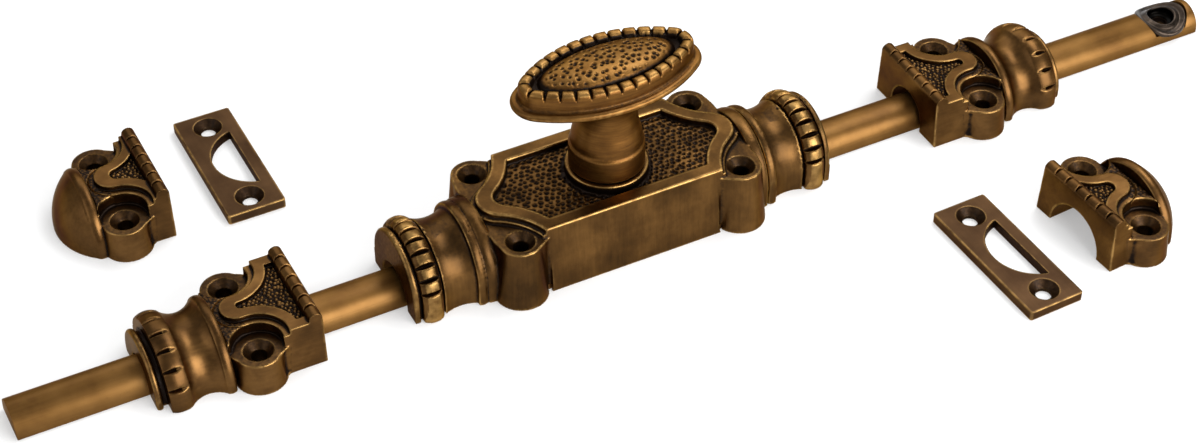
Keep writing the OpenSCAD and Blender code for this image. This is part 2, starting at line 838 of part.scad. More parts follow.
module rack_teeth() {
    slope = tan(pressure_angle);
    half_tip = tooth_t / 2 - addendum * slope;
    half_root = tooth_t / 2 + (addendum + root_gap) * slope;
    first = ceil((rack_x0 + half_root) / tooth_pitch - 0.5);
    last = floor((rack_x1 - half_root) / tooth_pitch - 0.5);
    for (k = [first : last])
        translate([(k + 0.5) * tooth_pitch, 0])
            polygon([[-half_root, -rack_root_y - 0.1], [half_root, -rack_root_y - 0.1],
                     [half_root, -rack_root_y], [half_tip, -rack_tip_y],
                     [-half_tip, -rack_tip_y], [-half_root, -rack_root_y]]);
}

module rack() {
    color(steel) difference() {
        union() {
            translate([0, 0, gear_z0]) linear_extrude(gear_z1 - gear_z0) {
                rack_teeth();
                translate([rack_x0, -rack_back_y]) square([arm_x1 - rack_x0, rack_t]);
                translate([arm_x0, -rack_back_y]) square([arm_x1 - arm_x0, rack_back_y]);
            }
            // Tail inside the rod's own outline, clear of the other rack
            intersection() {
                along_x(arm_x0, lap_x0) translate([0, rod_lift]) arch_section(rod_r, rod_h);
                translate([arm_x0, -rod_w, gear_z0]) cube([lap_x0 - arm_x0, rod_w + tail_side_y, rod_h]);
            }
            // Lap joint on the rod
            intersection() {
                along_x(lap_x0 - 0.01, lap_x1) translate([0, rod_lift]) arch_section(rod_r, rod_h);
                translate([lap_x0 - 0.01, -rod_w, lap_z]) cube([lap_l + 0.01, 2 * rod_w, rod_h]);
            }
        }
        translate([lap_x0 + lap_l / 2, 0, lap_z - over])
            cylinder(d = small_screw_d + 2 * seat_gap, h = rod_h);
    }
}

module rod(reach, drilled) {
    color(brass) difference() {
        along_x(lap_x0, reach) translate([0, rod_lift]) arch_section(rod_r, rod_h);
        // Half lap for the rack
        translate([lap_x0 - over, -rod_w, lap_z]) cube([lap_l + over + seat_gap, 2 * rod_w, rod_h]);
        translate([lap_x0 + lap_l / 2, 0, rod_lift])
            mirror([0, 0, 1]) translate([0, 0, -rod_h])
                screw_hole(rod_h, small_screw_d + 2 * seat_gap, small_head_d + 2 * seat_gap);
        if (drilled)
            translate([rod_hole_x, 0, 0]) {
                cylinder(d = screw_hole_d, h = rod_h);
                translate([0, 0, end_washer_z]) cylinder(d = end_washer_d + 2 * slide_gap, h = rod_h);
            }
    }
}

// Domed washer, let into the rod round the hole at its end
module rod_end_washer() {
    hole_r = end_washer_hole_d / 2;
    rim_r = end_washer_d / 2;
    lip_top = end_washer_h - end_washer_lip_r;
    color(steel) translate([rod_hole_x, 0, end_washer_z]) rotate_extrude() {
        polygon([[hole_r, 0], [rim_r, 0], [rim_r, end_washer_rim_t],
                 [rim_r - end_washer_rim_w, end_washer_rim_t],
                 [hole_r + 2 * end_washer_lip_r, lip_top], [hole_r, lip_top]]);
        translate([hole_r + end_washer_lip_r, lip_top]) circle(end_washer_lip_r);
    }
}

module rod_screw() {
    translate([lap_x0 + lap_l / 2, 0, rod_lift])
        flat_screw(small_screw_d, small_head_d, rod_h - rod_screw_cover);
}

// Guides and keepers, drawn with the face at x = 0 and the body towards +X

// Front part of a guide or keeper: a beaded rim, a ribbon on a step and two screw ears
module shield(w, h, ear, ear_h, tip, back) {
    ribbon_z = h - ribbon_drop;
    floor_z = ribbon_z - ribbon_rise;
    step = ribbon_hollow_r - ear_pocket_r;
    side_end = ear.x - sqrt(pow(ear_pocket_r, 2) - pow(w / 2 - ear.y, 2));
    side_y = w / 2 + small_draft * (1 - ear_h / h);
    ledge_z = (ear_h + floor_z) / 2;
    difference() {
        intersection() {
            // Side faces that lean out towards the door
            along_x(0, tip + step + over)
                polygon([[-w / 2 - small_draft, 0], [w / 2 + small_draft, 0], [w / 2, h], [-w / 2, h]]);
            union() {
                linear_extrude(floor_z) tip_half(ear, ear_pocket_r, tip + step, w);
                linear_extrude(ribbon_z) difference() {
                    tip_half(ear, ribbon_hollow_r, tip, w);
                    tip_half(ear, ribbon_hollow_r + ribbon_w, tip - ribbon_tip_w, w / 2 - ribbon_w);
                }
                // Rim with a round top
                rotate([90, 0, 0]) translate([0, 0, -w]) linear_extrude(2 * w) {
                    square([rim_w, h - rim_w / 2]);
                    intersection() {
                        translate([rim_w / 2, h - rim_w / 2]) circle(rim_w / 2);
                        translate([0, h - rim_w / 2]) square(rim_w);
                    }
                }
            }
        }
        for (k = [1 : rim_beads - 1])
            translate([0, -w / 2 + k * w / rim_beads, 0])
                along_x(-over, rim_w) v_groove(rim_notch_w, rim_notch_depth, h);
    }
    both_sides(ear.y)
        translate([ear.x, 0, 0]) cylinder(d1 = small_ear_d + 2 * small_draft, d2 = small_ear_d, h = ear_h);
    linear_extrude(ear_h)
        for (my = [0, 1])
            mirror([0, my])
                ear_web([side_end - 2 * over, side_y - web_sink], ear, small_ear_d / 2 - web_sink,
                        [back, ear.y - web_in]);
    // Ledge between an ear's pocket and the collar
    linear_extrude(ledge_z)
        for (my = [0, 1])
            mirror([0, my]) difference() {
                translate([ear.x, 0]) square([back - web_sink - ear.x, ear.y - web_in - web_sink]);
                translate(ear) circle(ear_pocket_r + web_sink);
            }
}

module guide_neck_profile() {
    collar_end = guide_collar_s + guide_collar_w;
    translate([0, guide_collar_s]) square([guide_core_r, guide_l - guide_collar_s]);
    crowned_band(guide_neck_r, guide_collar_s, collar_end, guide_collar_rise);
    hollow_band(guide_waist_r, guide_neck_r - guide_collar_rise - guide_collar_step, collar_end, guide_rim_s);
    crowned_band(guide_rim_r, guide_rim_s, guide_rim_s + guide_rim_w, guide_rim_rise);
    crowned_band(guide_lip_r, guide_l - guide_lip_w, guide_l, guide_lip_rise);
}

module guide() {
    color(brass) difference() {
        union() {
            shield(guide_w, guide_h, guide_ear, guide_ear_h, guide_tip, guide_collar_s + shield_root);
            turned_arch(guide_neck_z) guide_neck_profile();
        }
        along_x(-over, guide_l + over) arch_section(channel_r, channel_top, over);
        along_x(-over, guide_ear_x) arch_section(guide_mouth_r, guide_mouth_h, over);
        both_sides(guide_ear_y) translate([guide_ear_x, 0, 0]) screw_hole(guide_ear_h);
        arch_notches(notch_count, guide_rim_r, guide_neck_z,
                     guide_rim_s, guide_rim_s + guide_rim_w, notch_w, notch_depth);
    }
}

// Ring and dome of the closed end
module keeper_cap_profile() {
    dome_r = arc_radius(2 * keeper_dome_r, keeper_l - keeper_dome_s);
    crowned_band(keeper_ring_r, keeper_ring_s, keeper_dome_s, keeper_ring_rise);
    intersection() {
        translate([0, keeper_l - dome_r]) circle(dome_r);
        translate([0, keeper_dome_s - shield_root]) square([keeper_dome_r, keeper_l]);
    }
}

module keeper() {
    color(brass) difference() {
        union() {
            shield(keeper_w, keeper_h, keeper_ear, keeper_ear_h, keeper_tip, keeper_ring_s + shield_root);
            turned_arch(keeper_ring_z) keeper_cap_profile();
        }
        along_x(-over, pocket_depth) arch_section(pocket_r, pocket_top, over);
        both_sides(keeper_ear_y) translate([keeper_ear_x, 0, 0]) screw_hole(keeper_ear_h);
    }
}

// Flat plate with a half-round slot
module strike_plate() {
    slot_r = arc_radius(slot_l, slot_depth);
    slot_x = plate_w / 2 - slot_inset;
    color(brass) difference() {
        translate([-plate_w / 2, -plate_l / 2, 0]) linear_extrude(plate_t) {
            translate([plate_corner_r, 0]) square([plate_w - 2 * plate_corner_r, plate_l]);
            translate([0, plate_corner_r]) square([plate_w, plate_l - 2 * plate_corner_r]);
            for (x = [plate_corner_r, plate_w - plate_corner_r], y = [plate_corner_r, plate_l - plate_corner_r])
                translate([x, y]) circle(plate_corner_r);
        }
        translate([0, 0, -over]) linear_extrude(plate_t + 2 * over) intersection() {
            translate([slot_x - slot_depth + slot_r, 0]) circle(slot_r);
            translate([slot_x - slot_depth - over, -slot_l / 2]) square([slot_depth + over, slot_l]);
        }
        both_sides(plate_holes / 2) screw_hole(plate_t);
    }
}

// The set, each piece in its place

gearbox_case();
back_plate();
back_plate_screw(0);  // back_plate_screw_1
back_plate_screw(1);  // back_plate_screw_2
back_plate_screw(2);  // back_plate_screw_3
back_plate_screw(3);  // back_plate_screw_4
spindle_bush();
friction_washer();
knob();
spindle();
pinion();
rack();  // top_rack
rotate(180) rack();  // bottom_rack
rod(top_rod_reach, true);  // top_rod
rotate(180) rod(bottom_rod_reach, false);  // bottom_rod
rod_screw();  // top_rod_screw
rotate(180) rod_screw();  // bottom_rod_screw
rod_end_washer();
translate([top_guide_x, 0, 0]) guide();  // top_guide
translate([-bottom_guide_x, 0, 0]) rotate(180) guide();  // bottom_guide
translate(top_keeper_at) rotate(top_keeper_turn) keeper();  // top_keeper
translate(bottom_keeper_at) rotate(180) keeper();  // bottom_keeper
translate(top_plate_at) rotate(top_plate_turn) strike_plate();  // top_strike_plate
translate(bottom_plate_at) strike_plate();  // bottom_strike_plate
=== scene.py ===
# %% [markdown]
# # A cremone bolt set in antique brass
# A cremone bolt locks a tall window or a pair of doors. Turning the oval knob drives one
# half-round rod up and the other down, through two guides, into two keepers or strike plates.
# The set lies on a table here, as it comes out of its box.
#
# The sizes come from the solid model, which is loaded first and never moved. Everything that
# follows gives those solids the softness of cast brass, its punched grounds and its worn finish.

# %% Load the solid model
import math
from collections import namedtuple

import bpy
import numpy as np
from mathutils import Matrix, Vector, kdtree


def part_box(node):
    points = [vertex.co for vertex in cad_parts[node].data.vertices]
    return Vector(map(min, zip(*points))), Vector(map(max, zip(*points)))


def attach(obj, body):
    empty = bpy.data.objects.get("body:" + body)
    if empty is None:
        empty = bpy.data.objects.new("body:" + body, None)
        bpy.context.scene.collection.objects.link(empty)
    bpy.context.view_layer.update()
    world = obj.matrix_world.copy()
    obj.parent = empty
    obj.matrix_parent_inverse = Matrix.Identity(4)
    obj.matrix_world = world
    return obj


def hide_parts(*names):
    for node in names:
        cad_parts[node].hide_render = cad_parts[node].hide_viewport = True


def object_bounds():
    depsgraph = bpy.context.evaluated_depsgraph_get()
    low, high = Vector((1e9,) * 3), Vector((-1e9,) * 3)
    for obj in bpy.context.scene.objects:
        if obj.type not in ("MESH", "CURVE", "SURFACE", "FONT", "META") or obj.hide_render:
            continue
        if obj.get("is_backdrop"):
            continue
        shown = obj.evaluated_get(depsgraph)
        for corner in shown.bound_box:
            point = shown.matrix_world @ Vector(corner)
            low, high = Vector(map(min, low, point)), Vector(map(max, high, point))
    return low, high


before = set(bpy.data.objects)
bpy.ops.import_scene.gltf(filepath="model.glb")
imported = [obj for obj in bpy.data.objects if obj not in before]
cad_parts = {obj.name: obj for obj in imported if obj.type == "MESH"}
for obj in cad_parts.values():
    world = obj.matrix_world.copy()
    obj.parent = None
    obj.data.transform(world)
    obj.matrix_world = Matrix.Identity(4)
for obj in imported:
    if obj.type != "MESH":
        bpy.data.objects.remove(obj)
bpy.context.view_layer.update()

MM = 0.001

# %% [markdown]
# ## The camera
# The picture was taken from the left and above, with a lens of middle length. A camera that
# stands in the same place is set up first. Aiming it with a direction is easier to get right than
# typing three angles, and the lamps are aimed so too.


# %% Camera
def facing(start, end):
    """The turn of a camera or lamp that looks from one place to another."""
    return (end - start).to_track_quat("-Z", "Y").to_euler()


camera_at = Vector((-253.57, -488.03, 493.9)) * MM
aim_at = Vector((-7.96, -11.12, 11.58)) * MM
bpy.ops.object.select_all(action="DESELECT")
bpy.ops.object.camera_add(location=camera_at)
camera = bpy.context.object
camera.name = "photo_camera"
camera.rotation_euler = facing(camera_at, aim_at)
camera.data.sensor_fit = "HORIZONTAL"
camera.data.sensor_width = 36
camera.data.lens = 71.43
camera.data.clip_start, camera.data.clip_end = 0.01, 20
bpy.context.scene.camera = camera
print("camera stands", round((aim_at - camera_at).length, 3), "m from the case")

# %% [markdown]
# ## One object at a time
# Operators act on whatever is selected, so most mistakes in a script come from something that was
# still selected. Two small helpers keep order: one picks an object alone, the other adds a
# modifier and applies it, as the Apply button does.


# %% Picking and finishing
def pick(piece):
    """Selects one object alone, in object mode."""
    if bpy.context.object and bpy.context.object.mode != "OBJECT":
        bpy.ops.object.mode_set(mode="OBJECT")
    bpy.ops.object.select_all(action="DESELECT")
    piece.select_set(True)
    bpy.context.view_layer.objects.active = piece


def finish_with(piece, kind, **settings):
    """Adds a modifier to a piece and applies it."""
    pick(piece)
    step = piece.modifiers.new(kind.title(), kind)
    for key, value in settings.items():
        setattr(step, key, value)
    bpy.ops.object.modifier_apply(modifier=step.name)


def new_piece(name, mesh):
    """Puts a mesh into the scene as a piece of its own."""
    piece = bpy.data.objects.new(name, mesh)
    bpy.context.scene.collection.objects.link(piece)
    return piece


def copy_to(piece, name, move):
    """A second piece with its own mesh, moved to its own place."""
    twin = new_piece(name, piece.data.copy())
    twin.data.transform(move)
    return twin


def triangles(piece):
    """How many triangles a piece comes to."""
    return sum(len(face.vertices) - 2 for face in piece.data.polygons)


# %% [markdown]
# ## Soft castings
# The case, the knob, the guides and the keepers are sand castings that were filed and buffed. No
# edge on them is sharp. A Bevel modifier would need clean loops round every edge, and the solids
# are triangles. Remesh lays an even net of small squares over the same form instead. Its sharp
# mode puts points right on the edges, so a few rounds of Smooth then wear all edges down alike, as
# buffing does. Its voxel mode leaves small steps along slanting edges, and suits the knob, which
# is round all over.

# %% Soft copy of a solid
MERGE_GAP = 0.002 * MM  # corners of loose triangles that lie closer than this are one point
LONG_PIECE = 90 * MM


def solid_copy(node, name):
    """A new piece with a merged copy of a solid's mesh."""
    piece = new_piece(name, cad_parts[node].data.copy())
    piece.data.materials.clear()
    pick(piece)
    bpy.ops.object.mode_set(mode="EDIT")
    bpy.ops.mesh.select_all(action="SELECT")
    bpy.ops.mesh.remove_doubles(threshold=MERGE_GAP)
    bpy.ops.object.mode_set(mode="OBJECT")
    return piece


def soft_copy(node, name, grain, rounds, sharp=True):
    """A casting: the solid's form in small squares, with its edges worn round."""
    piece = solid_copy(node, name)
    size = max(piece.dimensions)
    depth = 9 if size > LONG_PIECE else 8
    if sharp:
        finish_with(piece, "REMESH", mode="SHARP", octree_depth=depth,
                    scale=size / (grain * 2 ** depth),
                    use_remove_disconnected=False, use_smooth_shade=True)
    else:
        finish_with(piece, "REMESH", mode="VOXEL", voxel_size=grain, use_smooth_shade=True)
    finish_with(piece, "SMOOTH", factor=0.5, iterations=rounds)
    print(name, "has", triangles(piece), "triangles")
    return piece


def soften(piece, chosen, rounds):
    """Smooths the chosen points further, which turns blocks into cushions."""
    group = piece.vertex_groups.new(name="soft")
    group.add(np.flatnonzero(chosen).tolist(), 1.0, "REPLACE")
    finish_with(piece, "SMOOTH", factor=0.5, iterations=rounds, vertex_group="soft")
    piece.vertex_groups.clear()


# %% [markdown]
# ## Reading the relief
# Antique brass is dipped until it is nearly black and then buffed, so the dark stays in hollows
# and the edges shine. The material has to know what is a hollow. Comparing each point with a
# smoothed copy of the same mesh tells it: a point that lies below the smoothed surface is in a
# hollow, one above it is on an edge. The answer is kept as an attribute, which a material can read.
# Besides patina and wear, these attributes also carry painted shade in the wider hollows and a
# painted highlight on the edges.


# %% Points, normals and relief
def points(mesh):
    """The places of a mesh's points, one row for each."""
    flat = np.empty(3 * len(mesh.vertices), np.float32)
    mesh.vertices.foreach_get("co", flat)
    return flat.reshape(-1, 3).astype(float)


def normals(mesh):
    """The directions in which a mesh's points face, one row for each."""
    flat = np.empty(3 * len(mesh.vertices), np.float32)
    mesh.vertex_normals.foreach_get("vector", flat)
    return flat.reshape(-1, 3).astype(float)


def move_points(mesh, places):
    """Puts a mesh's points at new places."""
    mesh.vertices.foreach_set("co", places.astype(np.float32).ravel())
    mesh.update()


def edge_ends(mesh):
    """The numbers of the two points of each edge."""
    ends = np.empty(2 * len(mesh.edges), np.int32)
    mesh.edges.foreach_get("vertices", ends)
    return ends[0::2], ends[1::2]


def relief(mesh, rounds):
    """How far each point lies under the smoothed surface, in metres."""
    start = points(mesh)
    (a, b), n = edge_ends(mesh), len(start)
    meets = np.bincount(a, minlength=n) + np.bincount(b, minlength=n)
    now = start.copy()
    for _ in range(rounds):
        near = [np.bincount(a, now[b, k], n) + np.bincount(b, now[a, k], n) for k in range(3)]
        now = (now + np.column_stack(near) / meets[:, None]) / 2
    return ((now - start) * normals(mesh)).sum(axis=1)


# %% [markdown]
# ## Hollows and edges as attributes
# Three comparisons, over a few, some and many rounds of smoothing, find the sharp edges, the
# creases and the wide hollows. A finer net needs more rounds for the same distance. The creases
# take patina, and the wide hollows take painted shade. The edges get bright brass that is partly
# buffing wear and partly a painted highlight. A few helpers darken, lighten or brighten given
# places one by one, as a painter would with a brush in Vertex Paint, for patina and wear as well
# as for painted shade and painted highlight.

# %% Marking a mesh
RELIEF_GRAIN = 0.4 * MM  # the net for which the rounds were chosen
CREASE_DEPTH, HOLLOW_DEPTH, EDGE_HEIGHT = 0.17 * MM, 1.2 * MM, 0.07 * MM


def mark(mesh, name, values):
    """Keeps one number for each point as an attribute."""
    layer = mesh.attributes.get(name) or mesh.attributes.new(name, "FLOAT", "POINT")
    layer.data.foreach_set("value", values.astype(np.float32))


def mark_relief(piece, grain):
    """Writes the attributes hollow and edge, from a fine, a narrow and a wide comparison."""
    mesh = piece.data
    step = (RELIEF_GRAIN / grain) ** 2
    fine, narrow, wide = (relief(mesh, round(rounds * step)) for rounds in (4, 16, 120))
    crease = np.clip(narrow / CREASE_DEPTH - 0.15, 0, 1)
    # painted shade: the wide comparison darkens broad hollows, round the ears and under the collars
    deep = np.clip(wide / HOLLOW_DEPTH - 0.3, 0, 1)
    # edge: bright brass, partly buffing wear and partly a painted highlight
    edge = np.clip(-fine / EDGE_HEIGHT - 0.5, 0, 1)
    # hollow holds patina in the creases and painted shade in the wide hollows
    mark(mesh, "hollow", np.clip(crease + 0.5 * deep, 0, 1))
    mark(mesh, "edge", edge)
    print(piece.name, "crease", round(float(crease.mean()), 3),
          "deep", round(float(deep.mean()), 3), "edge", round(float(edge.mean()), 3))


def marked(piece, name):
    """The numbers of an attribute, one for each point."""
    kept = np.empty(len(piece.data.vertices), np.float32)
    piece.data.attributes[name].data.foreach_get("value", kept)
    return kept


def darken(piece, share):
    """Raises the attribute hollow to a share given for each point."""
    mark(piece.data, "hollow", np.clip(np.maximum(marked(piece, "hollow"), share), 0, 1))


def ease(piece, where, share):
    """Keeps only a share of the attribute hollow where asked."""
    mark(piece.data, "hollow", marked(piece, "hollow") * (1 - where * (1 - share)))


def polish_and_highlight(piece, share):
    """Raises the attribute edge to a share given for each point: partly more buffing, partly a
    painted highlight.
    """
    mark(piece.data, "edge", np.clip(np.maximum(marked(piece, "edge"), share), 0, 1))


# %% [markdown]
# ## Finding a place on a mesh
# A remeshed piece has no named faces. Its parts are found by where they lie and which way they
# face: a floor by its height and its upward normals, a screw hole by the distance from its axis.


# %% Places on a mesh
def between(values, low, high):
    """Which values lie between two others."""
    return (values > low) & (values < high)


def flat_share(mesh, height, within, upright, fade):
    """How far each point belongs to the level faces at a height, from 0 to 1."""
    level = np.abs(points(mesh)[:, 2] - height) < within
    return level * np.clip((normals(mesh)[:, 2] - upright) / fade, 0, 1)


def seat_share(mesh, height):
    """The flat seats at a height, where the screws go; they keep their patina."""
    return flat_share(mesh, height, within=0.3 * MM, upright=0.9, fade=0.08)


def near_axes(mesh, axes):
    """Distance of each point from the nearest of some upright lines."""
    place = points(mesh)
    return np.min([np.hypot(place[:, 0] - x, place[:, 1] - y) for x, y in axes], axis=0)


def around(mesh, axis_z):
    """Distance and angle of each point from a line along X at a height."""
    place = points(mesh)
    up = place[:, 2] - axis_z
    r = np.maximum(np.hypot(place[:, 1], up), 0.01 * MM)
    return r, np.degrees(np.arctan2(up, place[:, 1]))


# %% [markdown]
# ## Punched grounds
# The sunk panel of the case and the dome of the knob were struck all over with a round punch. A
# Voronoi texture on a Displace modifier gives pits as well, but they crowd together, and a punch
# is set down at about the same distance each time. So the marks lie on a grid of triangles whose
# points are moved a little at random, from a fixed seed. The faces of the ground are subdivided
# first, so that each mark has points enough to be round.


# %% Subdividing and punching a ground
def subdivide_where(piece, chosen):
    """Splits each face whose corners are all chosen into four."""
    mesh = piece.data
    starts = np.empty(len(mesh.polygons), np.int32)
    corners = np.empty(len(mesh.loops), np.int32)
    mesh.polygons.foreach_get("loop_start", starts)
    mesh.loops.foreach_get("vertex_index", corners)
    whole = np.logical_and.reduceat(chosen[corners], starts)
    pick(piece)
    bpy.context.tool_settings.mesh_select_mode = (False, False, True)
    bpy.ops.object.mode_set(mode="EDIT")
    bpy.ops.mesh.select_all(action="DESELECT")
    bpy.ops.object.mode_set(mode="OBJECT")
    mesh.polygons.foreach_set("select", whole)
    bpy.ops.object.mode_set(mode="EDIT")
    bpy.ops.mesh.subdivide(number_cuts=1)
    bpy.ops.object.mode_set(mode="OBJECT")


def punch(piece, share, pitch, width, depth, seed, loose=0.22):
    """Strikes marks where share is above 0; a negative depth raises them as lumps."""
    mesh = piece.data
    places, out = points(mesh), normals(mesh)
    ground = np.flatnonzero(share > 0)
    low = places[ground, :2].min(axis=0) - pitch
    high = places[ground, :2].max(axis=0) + pitch
    luck = np.random.default_rng(seed)
    rows = np.arange(low[1], high[1], pitch * 0.866)
    steps = np.arange(low[0], high[0], pitch)
    marks = np.array([(x + pitch / 2 * (k % 2), y) for k, y in enumerate(rows) for x in steps])
    marks += luck.uniform(-loose, loose, marks.shape) * pitch
    reach = width / 2 * luck.uniform(0.75, 1.2, len(marks))
    deep = depth * luck.uniform(0.7, 1.15, len(marks))
    tree = kdtree.KDTree(len(marks))
    for k, (x, y) in enumerate(marks):
        tree.insert((x, y, 0), k)
    tree.balance()
    struck = np.zeros(len(places))
    for i in ground:
        _, k, far = tree.find((places[i, 0], places[i, 1], 0))
        if far < reach[k]:
            struck[i] = (1 - (far / reach[k]) ** 2) ** 1.3 * share[i]
            places[i] -= out[i] * deep[k] * struck[i]
    move_points(mesh, places)
    print(piece.name, "has", len(marks), "marks laid out")
    return struck


# %% [markdown]
# ## Grooves between beads
# The rings on the necks and the rims of the shields are rows of beads with narrow grooves between
# them. The grooves are in the solid, but smoothing fills a narrow groove before it rounds anything
# else. A Boolean with dozens of thin wedges would cut them again, and leave sharp shoulders.
# Moving the points is simpler here: those near the middle of a groove sink towards its floor, and
# the shoulders come out round, like cushions.


# %% Cutting grooves
def cushion(beside, half):
    """0 in the middle of a groove and 1 beyond its edge, with a round shoulder."""
    return 1 - (1 - np.clip(beside / half, 0, 1)) ** 2.2


def draw_in(piece, axis_z, scale):
    """Scales the distance of each point from a line along X at a height."""
    place = points(piece.data)
    place[:, 1] *= scale
    place[:, 2] = axis_z + (place[:, 2] - axis_z) * scale
    move_points(piece.data, place)


def beside_groove(mesh, axis_z, step):
    """Distance of each point from the nearest groove, where one comes every so many degrees."""
    r, angle = around(mesh, axis_z)
    turn = angle / step
    return np.abs(turn - np.round(turn)) * math.radians(step) * r


def round_grooves(piece, band, axis_z, floor_r, step, half):
    """Cuts grooves into a turned band, every so many degrees, down to a radius."""
    r, angle = around(piece.data, axis_z)
    turn = angle / step
    chosen = band & (r > floor_r) & between(turn, 0.5, 180 / step - 0.5)
    keep = cushion(beside_groove(piece.data, axis_z, step), half)
    draw_in(piece, axis_z, np.where(chosen, floor_r + (r - floor_r) * keep, r) / r)


# %% [markdown]
# ## Valleys beside the ears
# The screw ears of the case, the guides and the keepers run into the side walls in a soft upright
# valley. In the solid the two meet in a sharp corner. A fillet there would need a clean edge to
# bevel, so the wall's points are pressed in along the corner and the seam is smoothed.


# %% Pressing a valley
def valley(piece, local, x, wall_y, top, deep):
    """Presses a soft upright valley into both side walls at x, and melts the seam there."""
    width, skin, foot = 1.0 * MM, 1.6 * MM, 0.5 * MM
    beside = np.abs(local[:, 0] - x)
    chosen = (np.abs(local[:, 1]) > wall_y - skin) & between(local[:, 2], foot, top)
    fall = np.exp(-(beside / width) ** 2) * chosen * np.clip((top - local[:, 2]) / width, 0, 1)
    out = normals(piece.data)
    upright = np.abs(out[:, 2]) < 0.5
    move_points(piece.data, points(piece.data) - out * (deep * fall * upright)[:, None])
    soften(piece, chosen & (beside < 2.4 * width), rounds=8)


# %% [markdown]
# ## The gearbox case
# The case carries the knob and hides the rack and pinion. It is one casting: a body with a sunk
# panel, four ears, and two turned necks that end in a ring of beads and a plain lip. Remesh lays a
# square net over the round lips and dents them a little, so their points go back to the radius
# that they were turned to.

# %% Case
CASE_GRAIN = 0.5 * MM
NECK_Z = 6.4 * MM
LIP_ZONES = ((69.75, 99, 14.4), (69.2, 99, 15.4), (69.9, 71, 12.5))  # from x, to x, beyond r, in mm
LIP_BEND_X, LIP_FACE_R, LIP_ROUND = 70.4 * MM, 14.4 * MM, 0.98 * MM
case = soft_copy("gearbox_case", "case_casting", CASE_GRAIN, rounds=3)


def true_lips(piece):
    """Turns the lips at the ends of the necks round again, where the net has dented them."""
    place = points(piece.data)
    r, _ = around(piece.data, NECK_Z)
    x = np.abs(place[:, 0])
    lip = np.any([between(x, a * MM, b * MM) & (r > c * MM) for a, b, c in LIP_ZONES], axis=0)
    bend = np.clip((x - LIP_BEND_X) / (1 * MM), 0, 1)
    turned = LIP_FACE_R + LIP_ROUND * np.sqrt(1 - bend ** 2)
    draw_in(piece, NECK_Z, np.where(lip & (place[:, 2] > NECK_Z), turned, r) / r)
    print(piece.name, "has", int(lip.sum()), "points on its lips")


true_lips(case)

# %% [markdown]
# ## Rings of beads on the necks
# After the valleys beside its ears, the case gets its beads. Each neck ends in a ring of fat ones,
# cast and then chased with a file. The net of the case is too coarse for the grooves, so it is
# subdivided beside them first, and the grooves are cut after. Only then is the relief read.

# %% Valleys and rings of the case
SEAM_X, WALL_Y, WALL_TOP = 29.6 * MM, 19.3 * MM, 20.4 * MM
RING_X, RING_HALF, RING_R = 65.5 * MM, 3.5 * MM, 14.8 * MM
RING_STEP = 15
RING_FLOOR = 14.9 * MM


def ring_band(mesh):
    """The two rings of beads, at the ends of the necks."""
    r, _ = around(mesh, NECK_Z)
    return (np.abs(np.abs(points(mesh)[:, 0]) - RING_X) < RING_HALF) & (r > RING_R)


for side in (-1, 1):
    valley(case, points(case.data) * (side, 1, 1), SEAM_X, WALL_Y, WALL_TOP, deep=0.3 * MM)
soften(case, ring_band(case.data), rounds=2)
by_groove = beside_groove(case.data, NECK_Z, RING_STEP) < 1.4 * MM
subdivide_where(case, ring_band(case.data) & by_groove)
round_grooves(case, ring_band(case.data), NECK_Z, RING_FLOOR, RING_STEP, half=0.75 * MM)
mark_relief(case, CASE_GRAIN)

# %% [markdown]
# ## The punched panel
# The ground of the panel is the part of the mesh that lies at the panel's height and faces up. Its
# marks stand close together, and the dip stayed in them.

# %% Panel of the case
PANEL_Z = 21.6 * MM


def panel_share(mesh):
    """How far each point belongs to the case's sunk panel, from 0 to 1."""
    return flat_share(mesh, PANEL_Z, within=0.3 * MM, upright=0.86, fade=0.1)


subdivide_where(case, panel_share(case.data) > 0)
panel = panel_share(case.data)
struck = punch(case, panel, pitch=1.95 * MM, width=1.75 * MM, depth=0.6 * MM, seed=3)
ease(case, panel, share=0.4)
darken(case, 0.04 * panel + 0.9 * struck)

# %% [markdown]
# ## Patina, painted shade and painted highlight of the case
# The wheel doesn't reach the seats of the screws, which keep their patina. The screw holes and the
# end faces of the necks are darkened as painted shade, and so is the foot of the knob's boss, which
# also keeps some patina. The seams beside the ears, the necks and the lips get less of the dark,
# the lips less of the bright edge, and the tops of the beads are brightened, partly as buffing and
# partly as a painted highlight.

# %% Patina, painted shade and painted highlight of the case
CASE_SCREWS = [(sx * 37.4 * MM, sy * 17 * MM) for sx in (-1, 1) for sy in (-1, 1)]
CASE_SEAT_Z = 20.6 * MM
# the screw holes are darkened out to this radius as painted shade
SCREW_DARK = 4.5 * MM  # radius of the dark hole of a screw
NECK_FROM, NECK_TO = 42 * MM, 56 * MM
LIP_X, END_FACE_X = 69.9 * MM, 71.1 * MM
BOSS_FOOT_R, BEAD_TOP_R = 14.2 * MM, 16.9 * MM
x, y, z = np.abs(points(case.data)).T
r, _ = around(case.data, NECK_Z)
darken(case, 0.3 * seat_share(case.data, CASE_SEAT_Z))
# painted shade in and round the empty screw holes
darken(case, 0.42 * (near_axes(case.data, CASE_SCREWS) < SCREW_DARK))
ease(case, (np.abs(x - SEAM_X) < 3 * MM) & (y > 18 * MM) & (z < WALL_TOP), share=0.45)
ease(case, between(x, NECK_FROM, NECK_TO), share=0.6)
ease(case, (x > LIP_X) & (r > 12 * MM), share=0.1)
# painted shade on the end faces of the necks
darken(case, 0.26 * (x > END_FACE_X))
mark(case.data, "edge", marked(case, "edge") * np.where(x > LIP_X - 0.5 * MM, 0.5, 1))
# patina and painted shade round the foot of the knob's boss, under the knob
boss_foot = (near_axes(case.data, [(0, 0)]) < BOSS_FOOT_R) & between(z, 21 * MM, 24 * MM)
darken(case, 0.7 * boss_foot)
# painted highlight, with some buffing, on the tops of the beads
polish_and_highlight(case, 0.6 * ring_band(case.data) * (r > BEAD_TOP_R))
